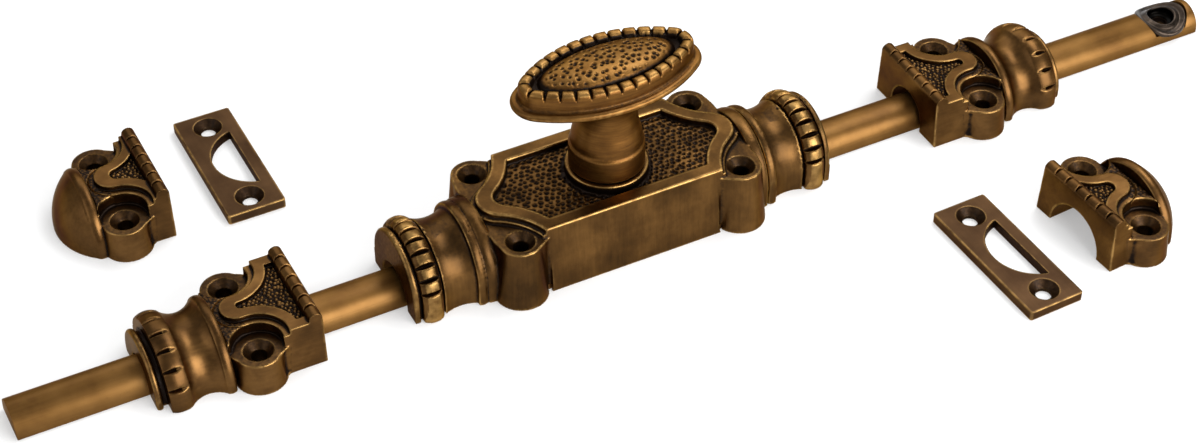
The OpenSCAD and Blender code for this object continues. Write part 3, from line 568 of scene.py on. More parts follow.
# the attribute hollow here holds both patina and painted shade
print("patina of the case, on average:", round(float(marked(case, "hollow").mean()), 3))

# %% [markdown]
# ## Thinning the case
# A case in half-millimetre squares is heavy to handle. Its inside is never seen, and its plain
# faces need few points, so Decimate thins both, held to a vertex group. It would flatten the
# channels of the rods, so these are left out of the group. The cavity is first widened by a
# quarter of a millimetre, so that thinned walls keep clear of the racks.

# %% Thin the plain faces of the case
CASE_LIMIT = 195000  # triangles
CAVITY_TOP, CAVITY_END, CAVITY_SPREAD = 18.4 * MM, 66 * MM, 0.25 * MM
CHANNEL_X, CHANNEL_R = 38 * MM, 9.5 * MM
PLAIN = 0.03  # less hollow and edge than this doesn't show


def well_within(mesh, chosen):
    """The chosen points whose neighbours are all chosen as well."""
    a, b = edge_ends(mesh)
    kept = chosen.copy()
    kept[a[~chosen[b]]] = False
    kept[b[~chosen[a]]] = False
    return kept


place, out = points(case.data), normals(case.data)
r, _ = around(case.data, NECK_Z)
from_middle, high = np.abs(place[:, 0]), place[:, 2]
inward = (out[:, 1] * place[:, 1] + out[:, 2] * (high - NECK_Z)) / r < -0.3
inside = (inward | (out[:, 2] < -0.9)) & (high < CAVITY_TOP)
inside &= near_axes(case.data, CASE_SCREWS) > 5 * MM
plain = (marked(case, "hollow") < PLAIN) & (marked(case, "edge") < PLAIN)
channel = (from_middle > CHANNEL_X) & (np.hypot(place[:, 1], high) < CHANNEL_R)
cavity = inside & inward & (from_middle < CAVITY_END)
place[cavity] -= out[cavity] * CAVITY_SPREAD
move_points(case.data, place)
spare = case.vertex_groups.new(name="spare")
thinned = (inside | well_within(case.data, plain)) & ~channel
spare.add(np.flatnonzero(thinned).tolist(), 1.0, "REPLACE")
print("case has", triangles(case), "triangles before thinning")
finish_with(case, "DECIMATE", ratio=min(1.0, CASE_LIMIT / triangles(case)), vertex_group="spare")
case.vertex_groups.clear()
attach(case, "gearbox")
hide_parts("gearbox_case")
print("case thinned to", triangles(case), "triangles")

# %% [markdown]
# ## The knob
# The knob is one casting: a turned shank that swells into a flat oval head, with a ring of beads
# round a punched dome. It is turned by a degree against the rods. To find the dome on the mesh, a
# point's distance from the middle is measured as a share of the dome's own oval.

# %% Knob
KNOB_GRAIN = 0.4 * MM
KNOB_TURN = math.radians(1)
KNOB_COS, KNOB_SIN = math.cos(KNOB_TURN), math.sin(KNOB_TURN)
HEAD_FLOOR_Z = 60.4 * MM
DOME_HALF = (23 * MM, 9.5 * MM)
knob = soft_copy("knob", "knob_casting", KNOB_GRAIN, rounds=3, sharp=False)


def on_head(place):
    """How far points lie along and across the knob's head."""
    return (place[:, 0] * KNOB_COS + place[:, 1] * KNOB_SIN,
            place[:, 1] * KNOB_COS - place[:, 0] * KNOB_SIN)


def from_dome(mesh):
    """Distance of each point from the knob's middle, as a share of the dome's own outline."""
    along, across = on_head(points(mesh))
    return np.hypot(along / DOME_HALF[0], across / DOME_HALF[1])


# %% [markdown]
# ## Beads round the knob's head
# The rim of the head is a ring of 28 beads. The cuts between them are in the solid, but they come
# out shallow after the remesh, so they are cut again in the same way as the other grooves. The
# beads follow an oval of four arcs, two tight ones at the ends and two flat ones along the sides.
# Numbering the beads by the length run along these arcs spaces them evenly.

# %% Cutting the knob's beads
KNOB_L, KNOB_W, BEAD_IN, BEADS = 62 * MM, 33 * MM, 4.4 * MM, 28
BEAD_R, BEAD_Z = 1.95 * MM, 61.2 * MM
CUT_FLOOR_Z = BEAD_Z - 0.2 * MM
END_X = 0.75 * (KNOB_L - KNOB_W)  # middle of an end's arc
DROP = END_X * 4 / 3              # how far the middle of a side's arc lies beyond the knob's middle
CORNER = math.atan2(4, 3)         # where an end's arc meets a side's
END_R, SIDE_R = KNOB_L / 2 - END_X - BEAD_IN, KNOB_W / 2 + DROP - BEAD_IN
END_RUN = END_R * CORNER
QUARTER = END_RUN + SIDE_R * (math.pi / 2 - CORNER)


def cut_beads(piece, half):
    """Parts the ring round the knob's head into beads, along an oval of four arcs."""
    place = points(piece.data)
    u, w = on_head(place)
    right, front = np.abs(u), np.abs(w)
    at_end = np.arctan2(front, right - END_X) < CORNER
    mid_x, mid_y = np.where(at_end, END_X, 0), np.where(at_end, 0, -DROP)
    mid_r = np.where(at_end, END_R, SIDE_R)
    angle = np.arctan2(front - mid_y, right - mid_x)
    out = np.hypot(right - mid_x, front - mid_y) - mid_r
    run = np.where(at_end, mid_r * angle, END_RUN + mid_r * (angle - CORNER))
    count = run / QUARTER * BEADS / 4 - 0.5
    keep = cushion(np.abs(count - np.round(count)) * QUARTER * 4 / BEADS, half)
    fade = np.clip((place[:, 2] - BEAD_Z) / (1.0 * MM) + 0.5, 0, 1)
    keep = 1 - (1 - keep) * fade * (np.abs(out) < BEAD_R + 0.3 * MM)
    r = mid_r + out * (0.6 + 0.4 * keep)
    u, w = np.sign(u) * (mid_x + r * np.cos(angle)), np.sign(w) * (mid_y + r * np.sin(angle))
    place[:, 2] -= np.maximum(place[:, 2] - CUT_FLOOR_Z, 0) * (1 - keep) * 0.85
    place[:, 0], place[:, 1] = u * KNOB_COS - w * KNOB_SIN, w * KNOB_COS + u * KNOB_SIN
    move_points(piece.data, place)


def ring(mesh):
    """The ring of the knob's head that carries the beads."""
    return (points(mesh)[:, 2] > BEAD_Z - 1.5 * MM) & (from_dome(mesh) > 1.04)


soften(knob, ring(knob.data), rounds=2)
subdivide_where(knob, ring(knob.data))
cut_beads(knob, half=0.66 * MM)
soften(knob, ring(knob.data), rounds=2)
print("knob has", BEADS, "beads,", round(QUARTER * 4 / BEADS / MM, 2), "mm apart")

# %% [markdown]
# ## The knob's dome
# The dome rises steeply from the moat round it and is nearly flat on top. Its points are set to
# that profile by height alone, which also takes out the steps that the remesh left, and then it is
# punched. The moat keeps its patina. The tops of the beads and the dome between the marks are
# brightened, partly as buffing and partly as a painted highlight.

# %% Dome and moat of the knob
DOME_RISE = 4 * MM
SHANK_TOP = 59 * MM
MOAT_TOP = 62.7 * MM


def dome_share(mesh):
    """How far each point belongs to the dome on the knob's head, from 0 to 1."""
    high = points(mesh)[:, 2] > HEAD_FLOOR_Z + 0.4 * MM
    return high * np.clip((0.9 - from_dome(mesh)) / 0.08, 0, 1)


place, far = points(knob.data), from_dome(knob.data)
on_dome = (place[:, 2] > HEAD_FLOOR_Z - 0.1 * MM) & (far < 1.03)
profile = np.sqrt(np.clip(1 - (far[on_dome] * 1.03) ** 2.6, 0, 1))
place[on_dome, 2] = HEAD_FLOOR_Z + DOME_RISE * profile
move_points(knob.data, place)
mark_relief(knob, KNOB_GRAIN)
ease(knob, points(knob.data)[:, 2] < SHANK_TOP, share=0.35)
subdivide_where(knob, dome_share(knob.data) > 0)
struck = punch(knob, dome_share(knob.data), pitch=2.15 * MM, width=1.65 * MM, depth=0.5 * MM,
               seed=11, loose=0.34)
far, high = from_dome(knob.data), points(knob.data)[:, 2]
moat = np.clip((far - 0.86) / 0.09, 0, 1) * (far < 1.2)
moat *= np.clip((MOAT_TOP - high) / (0.6 * MM), 0, 1) * (high > HEAD_FLOOR_Z - 0.5 * MM)
darken(knob, np.maximum(0.75 * struck, 0.8 * moat))
# painted highlight, with some buffing, on the bead tops and on the dome between the marks
polish_and_highlight(knob, 0.45 * ring(knob.data) * (high > 62.3 * MM))
polish_and_highlight(knob, 0.2 * dome_share(knob.data) * (1 - struck))
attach(knob, "knob")
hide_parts("knob")
print("knob has", triangles(knob), "triangles")

# %% [markdown]
# ## Guides and keepers
# Each guide holds a rod to the door. Its front is a small shield: a beaded rim, a raised ribbon
# that comes to a point, and a rough triangle inside the ribbon. Behind it two ears take the
# screws, on both sides of a ledge. The keepers are the same shield with a closed end. A guide and
# a keeper are modelled once, then copied to their second places. Both go through the same steps,
# so their measures are gathered in one record, seen from a shield that starts at x = 0.

# %% Measures of a shield
SHIELD_GRAIN = 0.36 * MM
RIM_BEADS, RIM_DEPTH = 7, 4.6 * MM
RIBBON_R = 12.9 * MM  # outer radius of the ribbon round an ear
POCKET_R = 7.3 * MM   # radius of the pocket in which an ear stands
# to_local moves a shield to x = 0. ear is the place of a screw. ledge_end is where the ledge meets
# the collar. seat and step are the heights of the screws' seats and of the ledge. wall is the place
# and the top of a valley. tip and half_w bound the triangle. rim_w and rim_z are the rim's width
# and height.
Shield = namedtuple("Shield", "to_local ear ledge_end seat step wall tip half_w rim_w rim_z")


def in_place(mesh, shield):
    """The points of a mesh in the shield's own place, with its rim at x = 0."""
    place = points(mesh)
    return (np.column_stack([place, np.ones(len(place))]) @ np.array(shield.to_local).T)[:, :3]


def from_ears(local, shield):
    """Distance of each point from the screw of the nearer ear."""
    return np.hypot(local[:, 0] - shield.ear[0], np.abs(local[:, 1]) - shield.ear[1])


def on_ledge(local, shield):
    """The part of a shield between its ears, beside the collar."""
    behind = between(local[:, 0], shield.ear[0] + 0.4 * MM, shield.ledge_end)
    return behind & (np.abs(local[:, 1]) < shield.ear[1] - 2 * MM)


# %% [markdown]
# ## Rim and ledge of a shield
# The rim is a straight row of seven beads, whose grooves are cut from above like those of the
# rings. The ledge of the solid lies lower than in the picture. Lifting its points and smoothing
# them melts it into the step behind the ribbon.


# %% Beads and ledge of a shield
def cut_rim(piece, shield):
    """Parts the rim of a shield into beads."""
    def rim(local):
        return (local[:, 0] < RIM_DEPTH) & (local[:, 2] > shield.rim_z - 2.2 * MM)

    subdivide_where(piece, rim(in_place(piece.data, shield)))
    local = in_place(piece.data, shield)
    pitch = shield.rim_w / RIM_BEADS
    count = (local[:, 1] + shield.rim_w / 2) / pitch
    groove = np.round(count)
    chosen = rim(local) & between(groove, 0.5, RIM_BEADS - 0.5)
    place, floor_z = points(piece.data), shield.rim_z - 1.6 * MM
    deep = np.maximum(place[:, 2] - floor_z, 0) * chosen
    place[:, 2] -= deep * (1 - cushion(np.abs(count - groove) * pitch, 0.66 * MM))
    move_points(piece.data, place)


def raise_ledge(piece, shield):
    """Lifts the ledge beside the collar to the level of the shield's step, and melts it in."""
    local = in_place(piece.data, shield)
    half_way = (shield.seat + shield.step) / 2
    chosen = on_ledge(local, shield) & (from_ears(local, shield) > POCKET_R)
    chosen &= between(local[:, 2], shield.seat + 0.1 * MM, half_way + 0.25 * MM)
    place = points(piece.data)
    lifted = shield.seat + (place[chosen, 2] - shield.seat) * 2
    place[chosen, 2] = np.minimum(lifted, shield.step)
    move_points(piece.data, place)
    soften(piece, chosen, rounds=3)


def shape_shield(piece, shield):
    """Gives a shield its ledge, the valleys beside its ears and its beads."""
    raise_ledge(piece, shield)
    valley(piece, in_place(piece.data, shield), *shield.wall, deep=0.6 * MM)
    cut_rim(piece, shield)


# %% [markdown]
# ## Rough grounds of a shield
# The triangle inside the ribbon is rough from the mould, with bright lumps on a dark ground. The
# ledge is left as cast too, with smaller lumps and thick patina. Both use the punch the other way
# round: a negative depth raises the marks instead of sinking them.


# %% Rough grounds and patina of a shield
def triangle_share(mesh, shield):
    """How far each point belongs to the ground inside a shield's ribbon, from 0 to 1."""
    local = in_place(mesh, shield)
    inside = (from_ears(local, shield) > RIBBON_R) & (np.abs(local[:, 1]) < shield.half_w)
    inside &= between(local[:, 0], RIM_DEPTH - 0.4 * MM, shield.tip)
    return inside * flat_share(mesh, shield.step, within=0.35 * MM, upright=0.8, fade=0.12)


def roughen(piece, shield, seed):
    """Subdivides the triangle's ground and raises small lumps on it."""
    subdivide_where(piece, triangle_share(piece.data, shield) > 0)
    share = triangle_share(piece.data, shield)
    lumps = punch(piece, share, pitch=1.45 * MM, width=1.7 * MM, depth=-0.65 * MM, seed=seed)
    for name, values in (("hollow", 0.95 - 1.1 * lumps), ("edge", 1.6 * lumps - 1.1)):
        mark(piece.data, name, np.where(share > 0, np.clip(values, 0, 1), marked(piece, name)))


def coarsen(piece, shield, seed):
    """Leaves the ledge as it was cast: small lumps with thick patina between them."""
    level = flat_share(piece.data, shield.step, within=0.45 * MM, upright=0.75, fade=0.15)
    share = on_ledge(in_place(piece.data, shield), shield) * level
    lumps = punch(piece, share, pitch=1.0 * MM, width=1.1 * MM, depth=-0.22 * MM, seed=seed,
                  loose=0.34)
    darken(piece, share * np.clip(0.75 - 0.6 * lumps, 0, 1))
    mark(piece.data, "edge", marked(piece, "edge") * (1 - share))


def pocket_wall(mesh, shield):
    """The upright wall round an ear, which buffing reaches."""
    local = in_place(mesh, shield)
    wall = between(from_ears(local, shield), POCKET_R - 0.5 * MM, POCKET_R + 1.1 * MM)
    wall &= np.abs(normals(mesh)[:, 2]) < 0.5
    return wall * np.clip((local[:, 2] - shield.seat - 0.5 * MM) / (0.8 * MM), 0, 1)


def age_shield(piece, shield, ledge_seed, ground_seed):
    """Marks a shield's relief, darkens its seats with patina and its screw holes with painted
    shade, and roughens its grounds.
    """
    mark_relief(piece, SHIELD_GRAIN)
    ease(piece, pocket_wall(piece.data, shield), share=0.3)
    darken(piece, 0.35 * seat_share(piece.data, shield.seat))
    # painted shade in and round the empty screw holes
    darken(piece, 0.42 * (from_ears(in_place(piece.data, shield), shield) < SCREW_DARK))
    coarsen(piece, shield, ledge_seed)
    roughen(piece, shield, ground_seed)


# %% [markdown]
# ## The two guides
# The far end of a guide is a round collar with beads of its own, which lie round the rod like
# those of the necks. The second guide is the same casting, turned end for end.

# %% Guides
GUIDE_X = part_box("top_guide")[0].x
HALF_TURN = Matrix.Rotation(math.pi, 4, "Z")
COLLAR_Z, COLLAR_FLOOR, COLLAR_STEP = 1.7 * MM, 16 * MM, 20
guide = Shield(to_local=Matrix.Translation((-GUIDE_X, 0, 0)), ear=(19.6 * MM, 14.4 * MM),
               ledge_end=27.9 * MM, seat=10.7 * MM, step=14.5 * MM,
               wall=(12.6 * MM, 16.3 * MM, 10.6 * MM), tip=20.4 * MM, half_w=12.9 * MM,
               rim_w=32.6 * MM, rim_z=18.7 * MM)


def collar_rim(mesh, slack):
    """The beaded end of a guide's collar, a little more of it with some slack."""
    along, (r, _) = points(mesh)[:, 0] - GUIDE_X, around(mesh, COLLAR_Z)
    return between(along, 43.6 * MM - slack, 47.8 * MM + slack) & (r > 15.6 * MM - slack)


top_guide = soft_copy("top_guide", "top_guide_casting", SHIELD_GRAIN, rounds=4)
shape_shield(top_guide, guide)
subdivide_where(top_guide, collar_rim(top_guide.data, slack=0.2 * MM))
round_grooves(top_guide, collar_rim(top_guide.data, 0), COLLAR_Z, COLLAR_FLOOR, COLLAR_STEP,
              half=0.8 * MM)
age_shield(top_guide, guide, ledge_seed=6, ground_seed=5)
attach(top_guide, "gearbox")
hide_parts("top_guide")

bottom_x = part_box("bottom_guide")[1].x
bottom_guide = copy_to(top_guide, "bottom_guide_casting",
                       Matrix.Translation((bottom_x, 0, 0)) @ HALF_TURN @ guide.to_local)
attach(bottom_guide, "gearbox")
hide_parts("bottom_guide")
print("two guides of", triangles(top_guide), "triangles")

# %% [markdown]
# ## The two keepers
# The keepers take the ends of the rods in the frame of the door. They lie loose beside the rods,
# one turned end for end and the other a few degrees askew. Their mouth has no collar, so the steps
# of the shield are all they need.

# %% Keepers
BOTTOM_KEEPER_AT = Matrix.Translation((-120.9 * MM, 71.8 * MM, 0)) @ HALF_TURN
TOP_KEEPER_AT = (Matrix.Translation((123.5 * MM, -73.3 * MM, 0))
                 @ Matrix.Rotation(math.radians(4), 4, "Z"))
keeper = Shield(to_local=BOTTOM_KEEPER_AT.inverted(), ear=(14.6 * MM, 14.9 * MM),
                ledge_end=21.5 * MM, seat=10.3 * MM, step=14.6 * MM,
                wall=(7.6 * MM, 16.6 * MM, 10.2 * MM), tip=13.4 * MM, half_w=13.2 * MM,
                rim_w=33.2 * MM, rim_z=18.8 * MM)
bottom_keeper = soft_copy("bottom_keeper", "bottom_keeper_casting", SHIELD_GRAIN, rounds=4)
shape_shield(bottom_keeper, keeper)
age_shield(bottom_keeper, keeper, ledge_seed=9, ground_seed=8)
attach(bottom_keeper, "gearbox")
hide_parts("bottom_keeper")

top_keeper = copy_to(bottom_keeper, "top_keeper_casting", TOP_KEEPER_AT @ keeper.to_local)
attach(top_keeper, "gearbox")
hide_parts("top_keeper")
print("two keepers of", triangles(bottom_keeper), "triangles")

# %% [markdown]
# ## The rods
# A rod is drawn brass with a half-round section. Remeshing would put ripples in its long
# highlight, so it is built from a primitive instead: a cylinder with many sides is cut in half by
# Bisect, its flat face is extruded down to make the straight foot, and a Bevel modifier rounds the
# ends. Its inner end is cut to half its height by a Boolean, to take the rack.

# %% Rod
ROD_R, ROD_FOOT, ROD_SPRING = 7 * MM, 0.3 * MM, 1.3 * MM
LAP_X, LAP_END, LAP_Z = 30.362 * MM, 44.382 * MM, 4.3 * MM


def cut(piece, cutter):
    """Takes the cutter's form out of a piece and deletes the cutter."""
    finish_with(piece, "BOOLEAN", object=cutter, operation="DIFFERENCE", solver="EXACT")
    bpy.data.objects.remove(cutter)


def rod(name, reach):
    """A half-round rod along +X, with the half lap that takes its rack."""
    bpy.ops.object.select_all(action="DESELECT")
    bpy.ops.mesh.primitive_cylinder_add(
        vertices=96, radius=ROD_R, depth=reach - LAP_X,
        location=((reach + LAP_X) / 2, 0, ROD_SPRING), rotation=(0, math.pi / 2, 0))
    piece = bpy.context.object
    piece.name = name
    bpy.ops.object.transform_apply(location=True, rotation=True, scale=True)
    bpy.ops.object.mode_set(mode="EDIT")
    bpy.ops.mesh.select_all(action="SELECT")
    bpy.ops.mesh.bisect(plane_co=(0, 0, ROD_SPRING), plane_no=(0, 0, 1),
                        use_fill=True, clear_inner=True)
    bpy.ops.mesh.select_all(action="DESELECT")
    bpy.ops.object.mode_set(mode="OBJECT")
    for face in piece.data.polygons:
        face.select = face.normal.z < -0.99
    bpy.ops.object.mode_set(mode="EDIT")
    bpy.ops.mesh.extrude_region_move(
        TRANSFORM_OT_translate={"value": (0, 0, ROD_FOOT - ROD_SPRING)})
    bpy.ops.mesh.select_all(action="SELECT")
    bpy.ops.mesh.normals_make_consistent(inside=False)
    bpy.ops.object.mode_set(mode="OBJECT")
    bpy.ops.mesh.primitive_cube_add(
        size=1, location=((LAP_X + LAP_END) / 2 - 1 * MM, 0, LAP_Z + 5 * MM),
        scale=(LAP_END - LAP_X + 2 * MM, 20 * MM, 10 * MM))
    cut(piece, bpy.context.object)
    return piece


# %% [markdown]
# ## Holes and edges of the rods
# Each rod has a countersunk screw hole for its rack, and the top rod a round recess and a hole at
# its end. They are drilled with Boolean cylinders. The Bevel modifier with an angle limit then
# rounds every sharp edge, and smoothing by angle keeps the flat faces flat. The hole at the end is
# marked as a hollow, so that its inside shows dark as painted shade.


# %% Both rods
def hole(piece, x, width, low, high):
    """Drills a round hole on the rod's middle line, from one height to another."""
    bpy.ops.object.select_all(action="DESELECT")
    bpy.ops.mesh.primitive_cylinder_add(vertices=96, radius=width / 2, depth=high - low,
                                        location=(x, 0, (low + high) / 2))
    cut(piece, bpy.context.object)


def ease_edges(piece, width):
    """Rounds the sharp edges of a machined piece and smooths its curved faces."""
    finish_with(piece, "BEVEL", width=width, segments=3, limit_method="ANGLE",
                angle_limit=math.radians(32), miter_outer="MITER_ARC", harden_normals=False)
    pick(piece)
    bpy.ops.object.shade_smooth_by_angle(angle=math.radians(38))


END_HOLE_X, RACK_SCREW_X = 211.3 * MM, 37.362 * MM
BELOW, ABOVE = -2 * MM, 10 * MM
top_rod = rod("top_rod_bar", reach=222 * MM)
hole(top_rod, END_HOLE_X, width=17.8 * MM, low=3.6 * MM, high=20 * MM)
hole(top_rod, END_HOLE_X, width=4.8 * MM, low=BELOW, high=ABOVE)
bottom_rod = rod("bottom_rod_bar", reach=190 * MM)
bottom_rod.data.transform(HALF_TURN)
for bar, body, side in ((top_rod, "top_rod", 1), (bottom_rod, "bottom_rod", -1)):
    hole(bar, side * RACK_SCREW_X, width=3.04 * MM, low=BELOW, high=ABOVE)
    hole(bar, side * RACK_SCREW_X, width=5.64 * MM, low=BELOW, high=1.6 * MM)
    ease_edges(bar, width=0.35 * MM)
    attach(bar, body)
    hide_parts(body)
    print(bar.name, "has", triangles(bar), "triangles")
# painted shade inside the hole at the rod's end
drilled = near_axes(top_rod.data, [(END_HOLE_X, 0)]) < 2.9 * MM
mark(top_rod.data, "hollow", 1.0 * (drilled & (points(top_rod.data)[:, 2] > 1 * MM)))

# %% [markdown]
# ## Strike plates
# Two flat plates with a half-round slot and two countersunk holes. They are stamped, filed and
# buffed like the castings, so they go the same way: a soft copy, with a finer net. The slanting
# walls of the countersinks and the slot are darkened as painted shade.

# %% Strike plates
PLATE_GRAIN = 0.3 * MM
TOP_PLATE_AT = (Matrix.Translation((99.9 * MM, -71.8 * MM, 0))
                @ Matrix.Rotation(math.radians(1.8), 4, "Z"))
BOTTOM_PLATE_BACK = Matrix.Translation((95.4 * MM, -76.7 * MM, 0))
bottom_plate = soft_copy("bottom_strike_plate", "bottom_strike", PLATE_GRAIN, rounds=3)
mark_relief(bottom_plate, PLATE_GRAIN)
plate_low, plate_high = (np.array(corner[:2]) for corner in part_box("bottom_strike_plate"))
flat = points(bottom_plate.data)[:, :2]
from_rim = np.minimum(flat - plate_low, plate_high - flat).min(axis=1)
slanting = np.clip((0.93 - normals(bottom_plate.data)[:, 2]) / 0.1, 0, 1)
# painted shade on the slanting walls of the countersinks and the slot
darken(bottom_plate, 0.4 * (from_rim > 1 * MM) * slanting)
top_plate = copy_to(bottom_plate, "top_strike", TOP_PLATE_AT @ BOTTOM_PLATE_BACK)
for plate, node in ((bottom_plate, "bottom_strike_plate"), (top_plate, "top_strike_plate")):
    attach(plate, "gearbox")
    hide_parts(node)
print("two strike plates of", triangles(bottom_plate), "triangles")

# %% [markdown]
# ## The washer at the rod's end
# A dark washer sits in a round recess at the end of the top rod. It follows the rod: its rim is
# high along the rod and low across it, like a saddle. A Screw modifier turns a drawn section into
# a ring. Bending it with a Simple Deform modifier would bend its hole too much, so the points are
# lowered one by one, the more the farther they lie from the rod's middle line.

# %% End washer
WASHER_R, WASHER_BOW, WASHER_FOOT = 8.7 * MM, 3.6 * MM, 3.65 * MM
CUP_R, CUP_TOP = 4.5 * MM, 6.7 * MM
section = [(2.5, 3.7), (8.7, 3.7), (8.7, 7.5), (8.3, 7.75), (7.7, 7.55), (7.0, 6.95), (6.6, 6.7),
           (6.2, 6.75), (5.9, 6.95), (5.5, 7.0), (5.1, 7.2), (4.75, 7.15), (4.45, 6.85),
           (4.3, 6.4), (4.3, 4.1), (2.5, 4.0)]  # radius and height in mm
end_washer = new_piece("end_washer", bpy.data.meshes.new("end_washer"))
end_washer.data.from_pydata([(r * MM, 0, z * MM) for r, z in section],
                            [(k, (k + 1) % len(section)) for k in range(len(section))], [])
finish_with(end_washer, "SCREW", axis="Z", angle=2 * math.pi, steps=96, render_steps=96,
            use_merge_vertices=True, merge_threshold=0.001 * MM)
finish_with(end_washer, "SUBSURF", levels=1, render_levels=1)
place = points(end_washer.data)
bowed = WASHER_BOW * (place[:, 1] / WASHER_R) ** 2 * np.clip((place[:, 2] / MM - 4.2) / 2, 0, 1)
place[:, 2] = np.maximum(place[:, 2] - bowed, WASHER_FOOT)
place[:, 0] += END_HOLE_X
move_points(end_washer.data, place)
pick(end_washer)
bpy.ops.object.mode_set(mode="EDIT")
bpy.ops.mesh.select_all(action="SELECT")
bpy.ops.mesh.normals_make_consistent(inside=False)
bpy.ops.object.mode_set(mode="OBJECT")
bpy.ops.object.shade_smooth()
# painted shade: the cup and hole of the washer are marked to show near black
cup = near_axes(end_washer.data, [(END_HOLE_X, 0)]) < CUP_R
mark(end_washer.data, "hollow", 1.0 * cup * (points(end_washer.data)[:, 2] < CUP_TOP))
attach(end_washer, "top_rod")
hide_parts("rod_end_washer")
print("end washer has", triangles(end_washer), "triangles")

# %% [markdown]
# ## Building a material
# Materials are drawn with nodes in the Shader Editor. In a script each node takes several lines,
# so a small class adds a node, sets its sockets and joins them. Colours are written as a paint
# program shows them and turned into the linear numbers that Blender's sockets take.


# %% Colours and node helpers
def tone(r, g, b):
    """A colour as a paint program shows it, from 0 to 255, for Blender's linear sockets."""
    return tuple(((c / 255 + 0.055) / 1.055) ** 2.4 if c > 10 else c / 3295
                 for c in (r, g, b)) + (1,)


class Nodes:
    """Adds nodes to a material and joins them."""

    def __init__(self, name):
        self.material = bpy.data.materials.new(name)
        self.material.use_nodes = True
        self.tree = self.material.node_tree
        self.tree.nodes.clear()

    def put(self, socket, value):
        """Joins a socket to another node's output, or sets its value."""
        if isinstance(value, bpy.types.NodeSocket):
            self.tree.links.new(value, socket)
        else:
            socket.default_value = value

    def add(self, kind, settings=None, **inputs):
        """A node with its settings; a space in a socket's name is written as _."""
        node = self.tree.nodes.new("ShaderNode" + kind)
        for key, value in (settings or {}).items():
            setattr(node, key, value)
        for key, value in inputs.items():
            self.put(node.inputs[key.replace("_", " ")], value)
        return node

    def join(self, kind, *values, **settings):
        """A node whose first sockets take some values in order."""
        node = self.add(kind, settings)
        for socket, value in zip(node.inputs, values):
            self.put(socket, value)
        return node.outputs[0]

    def maths(self, operation, a, b, clamp=False):
        return self.join("Math", a, b, operation=operation, use_clamp=clamp)

    def mix(self, share, a, b):
        """A blend of two colours, whose sockets have the numbers 6 and 7."""
        node = self.add("Mix", {"data_type": "RGBA"})
        for number, value in ((0, share), (6, a), (7, b)):
            self.put(node.inputs[number], value)
        return node.outputs[2]

    def noise(self, where, scale, detail=3.0, rough=0.55):
        node = self.add("TexNoise", Vector=where, Scale=scale, Detail=detail, Roughness=rough)
        return node.outputs["Fac"]

    def stretched(self, where, scales):
        return self.add("Mapping", Vector=where, Scale=scales).outputs["Vector"]

    def attribute(self, name):
        return self.add("Attribute", {"attribute_name": name}).outputs["Fac"]

    def remap(self, value, low, high, to_low=0.0, to_high=1.0):
        node = self.add("MapRange", Value=value)
        for number, limit in ((1, low), (2, high), (3, to_low), (4, to_high)):
            node.inputs[number].default_value = limit
        return node.outputs["Result"]


# %% [markdown]
# ## Antique brass
# The finish has three layers: brown brass with a faint brushed grain, a nearly black layer that is
# patina in the creases and painted shade in the wider hollows, holes and shaded faces, and bright
# brass on the edges that is partly buffing and partly a painted highlight. Two noise textures on
# Object coordinates vary the brown, one in soft clouds and one stretched along the brush strokes.
# The attributes hollow and edge mix in the other two layers. The dark layer is rougher. Metal turns
# white where it is seen edge-on; lacquer over the patina dulls that, so Specular Tint is set to a
# tan.

# %% Antique brass material
EDGE_TINT = tone(190, 172, 148)


def antique_brass(name, deep, body, lit, patina, worn, brush, gloss=0.34, lines=0.2, wear_and_sheen=0.55):
    """Brown brass with patina and painted shade in hollows, wear and painted highlight on edges;
    brush is the stretch of its strokes.
    """
    m = Nodes(name)
    where = m.add("TexCoord").outputs["Object"]
    hollow, edge = m.attribute("hollow"), m.attribute("edge")
    clouds = m.noise(where, scale=75, detail=4)
    strokes = m.noise(m.stretched(where, brush), scale=1, rough=0.6)
    specks = m.noise(where, scale=900, detail=2)
    shade = m.maths("ADD", m.maths("MULTIPLY", clouds, 1 - lines),
                    m.maths("MULTIPLY", strokes, lines))
    brown = m.mix(m.remap(shade, 0.34, 0.5), deep, body)
    brown = m.mix(m.remap(shade, 0.5, 0.68), brown, lit)
    # dark: patina in the creases and painted shade elsewhere, read from the attribute hollow
    dark = m.maths("ADD", hollow, m.remap(specks, 0.3, 0.7, -0.12, 0.12))
    dark = m.remap(dark, 0.08, 0.6)
    # shine: bright brass on the edges, partly buffing wear and partly a painted highlight
    buff_and_sheen = m.remap(m.noise(where, scale=260), 0.3, 0.62, 0.05, wear_and_sheen)
    shine = m.maths("MULTIPLY", edge, buff_and_sheen, clamp=True)
    shine = m.maths("MULTIPLY", shine, m.maths("SUBTRACT", 1.0, dark))
    # the patina tone also serves as painted shade, the worn tone also as painted highlight
    colour = m.mix(dark, brown, patina)
    colour = m.mix(shine, colour, worn)
    rough = m.maths("ADD", gloss, m.maths("MULTIPLY", dark, 0.2))
    rough = m.maths("ADD", rough, m.remap(strokes, 0.3, 0.7, -0.03, 0.04))
    height = m.maths("ADD", m.maths("MULTIPLY", strokes, 0.6), m.maths("MULTIPLY", specks, 0.4))
    bump = m.add("Bump", Strength=0.2, Distance=0.02 * MM, Height=height)
    shader = m.add("BsdfPrincipled", Base_Color=colour, Roughness=rough, Metallic=1.0,
                   Specular_Tint=EDGE_TINT, Normal=bump.outputs["Normal"],
                   Coat_Weight=0.08, Coat_Roughness=0.3)
    m.add("OutputMaterial", Surface=shader.outputs["BSDF"])
    return m.material


# %% [markdown]
# ## Five tones of the finish
# The pieces came out of the dip a little differently. The knob is warmer and was turned on a
# lathe, so its strokes run round the shank. The rods are drawn, lighter, and brushed along their
# length. The plates are the darkest. One material with other colours and strokes gives them all.

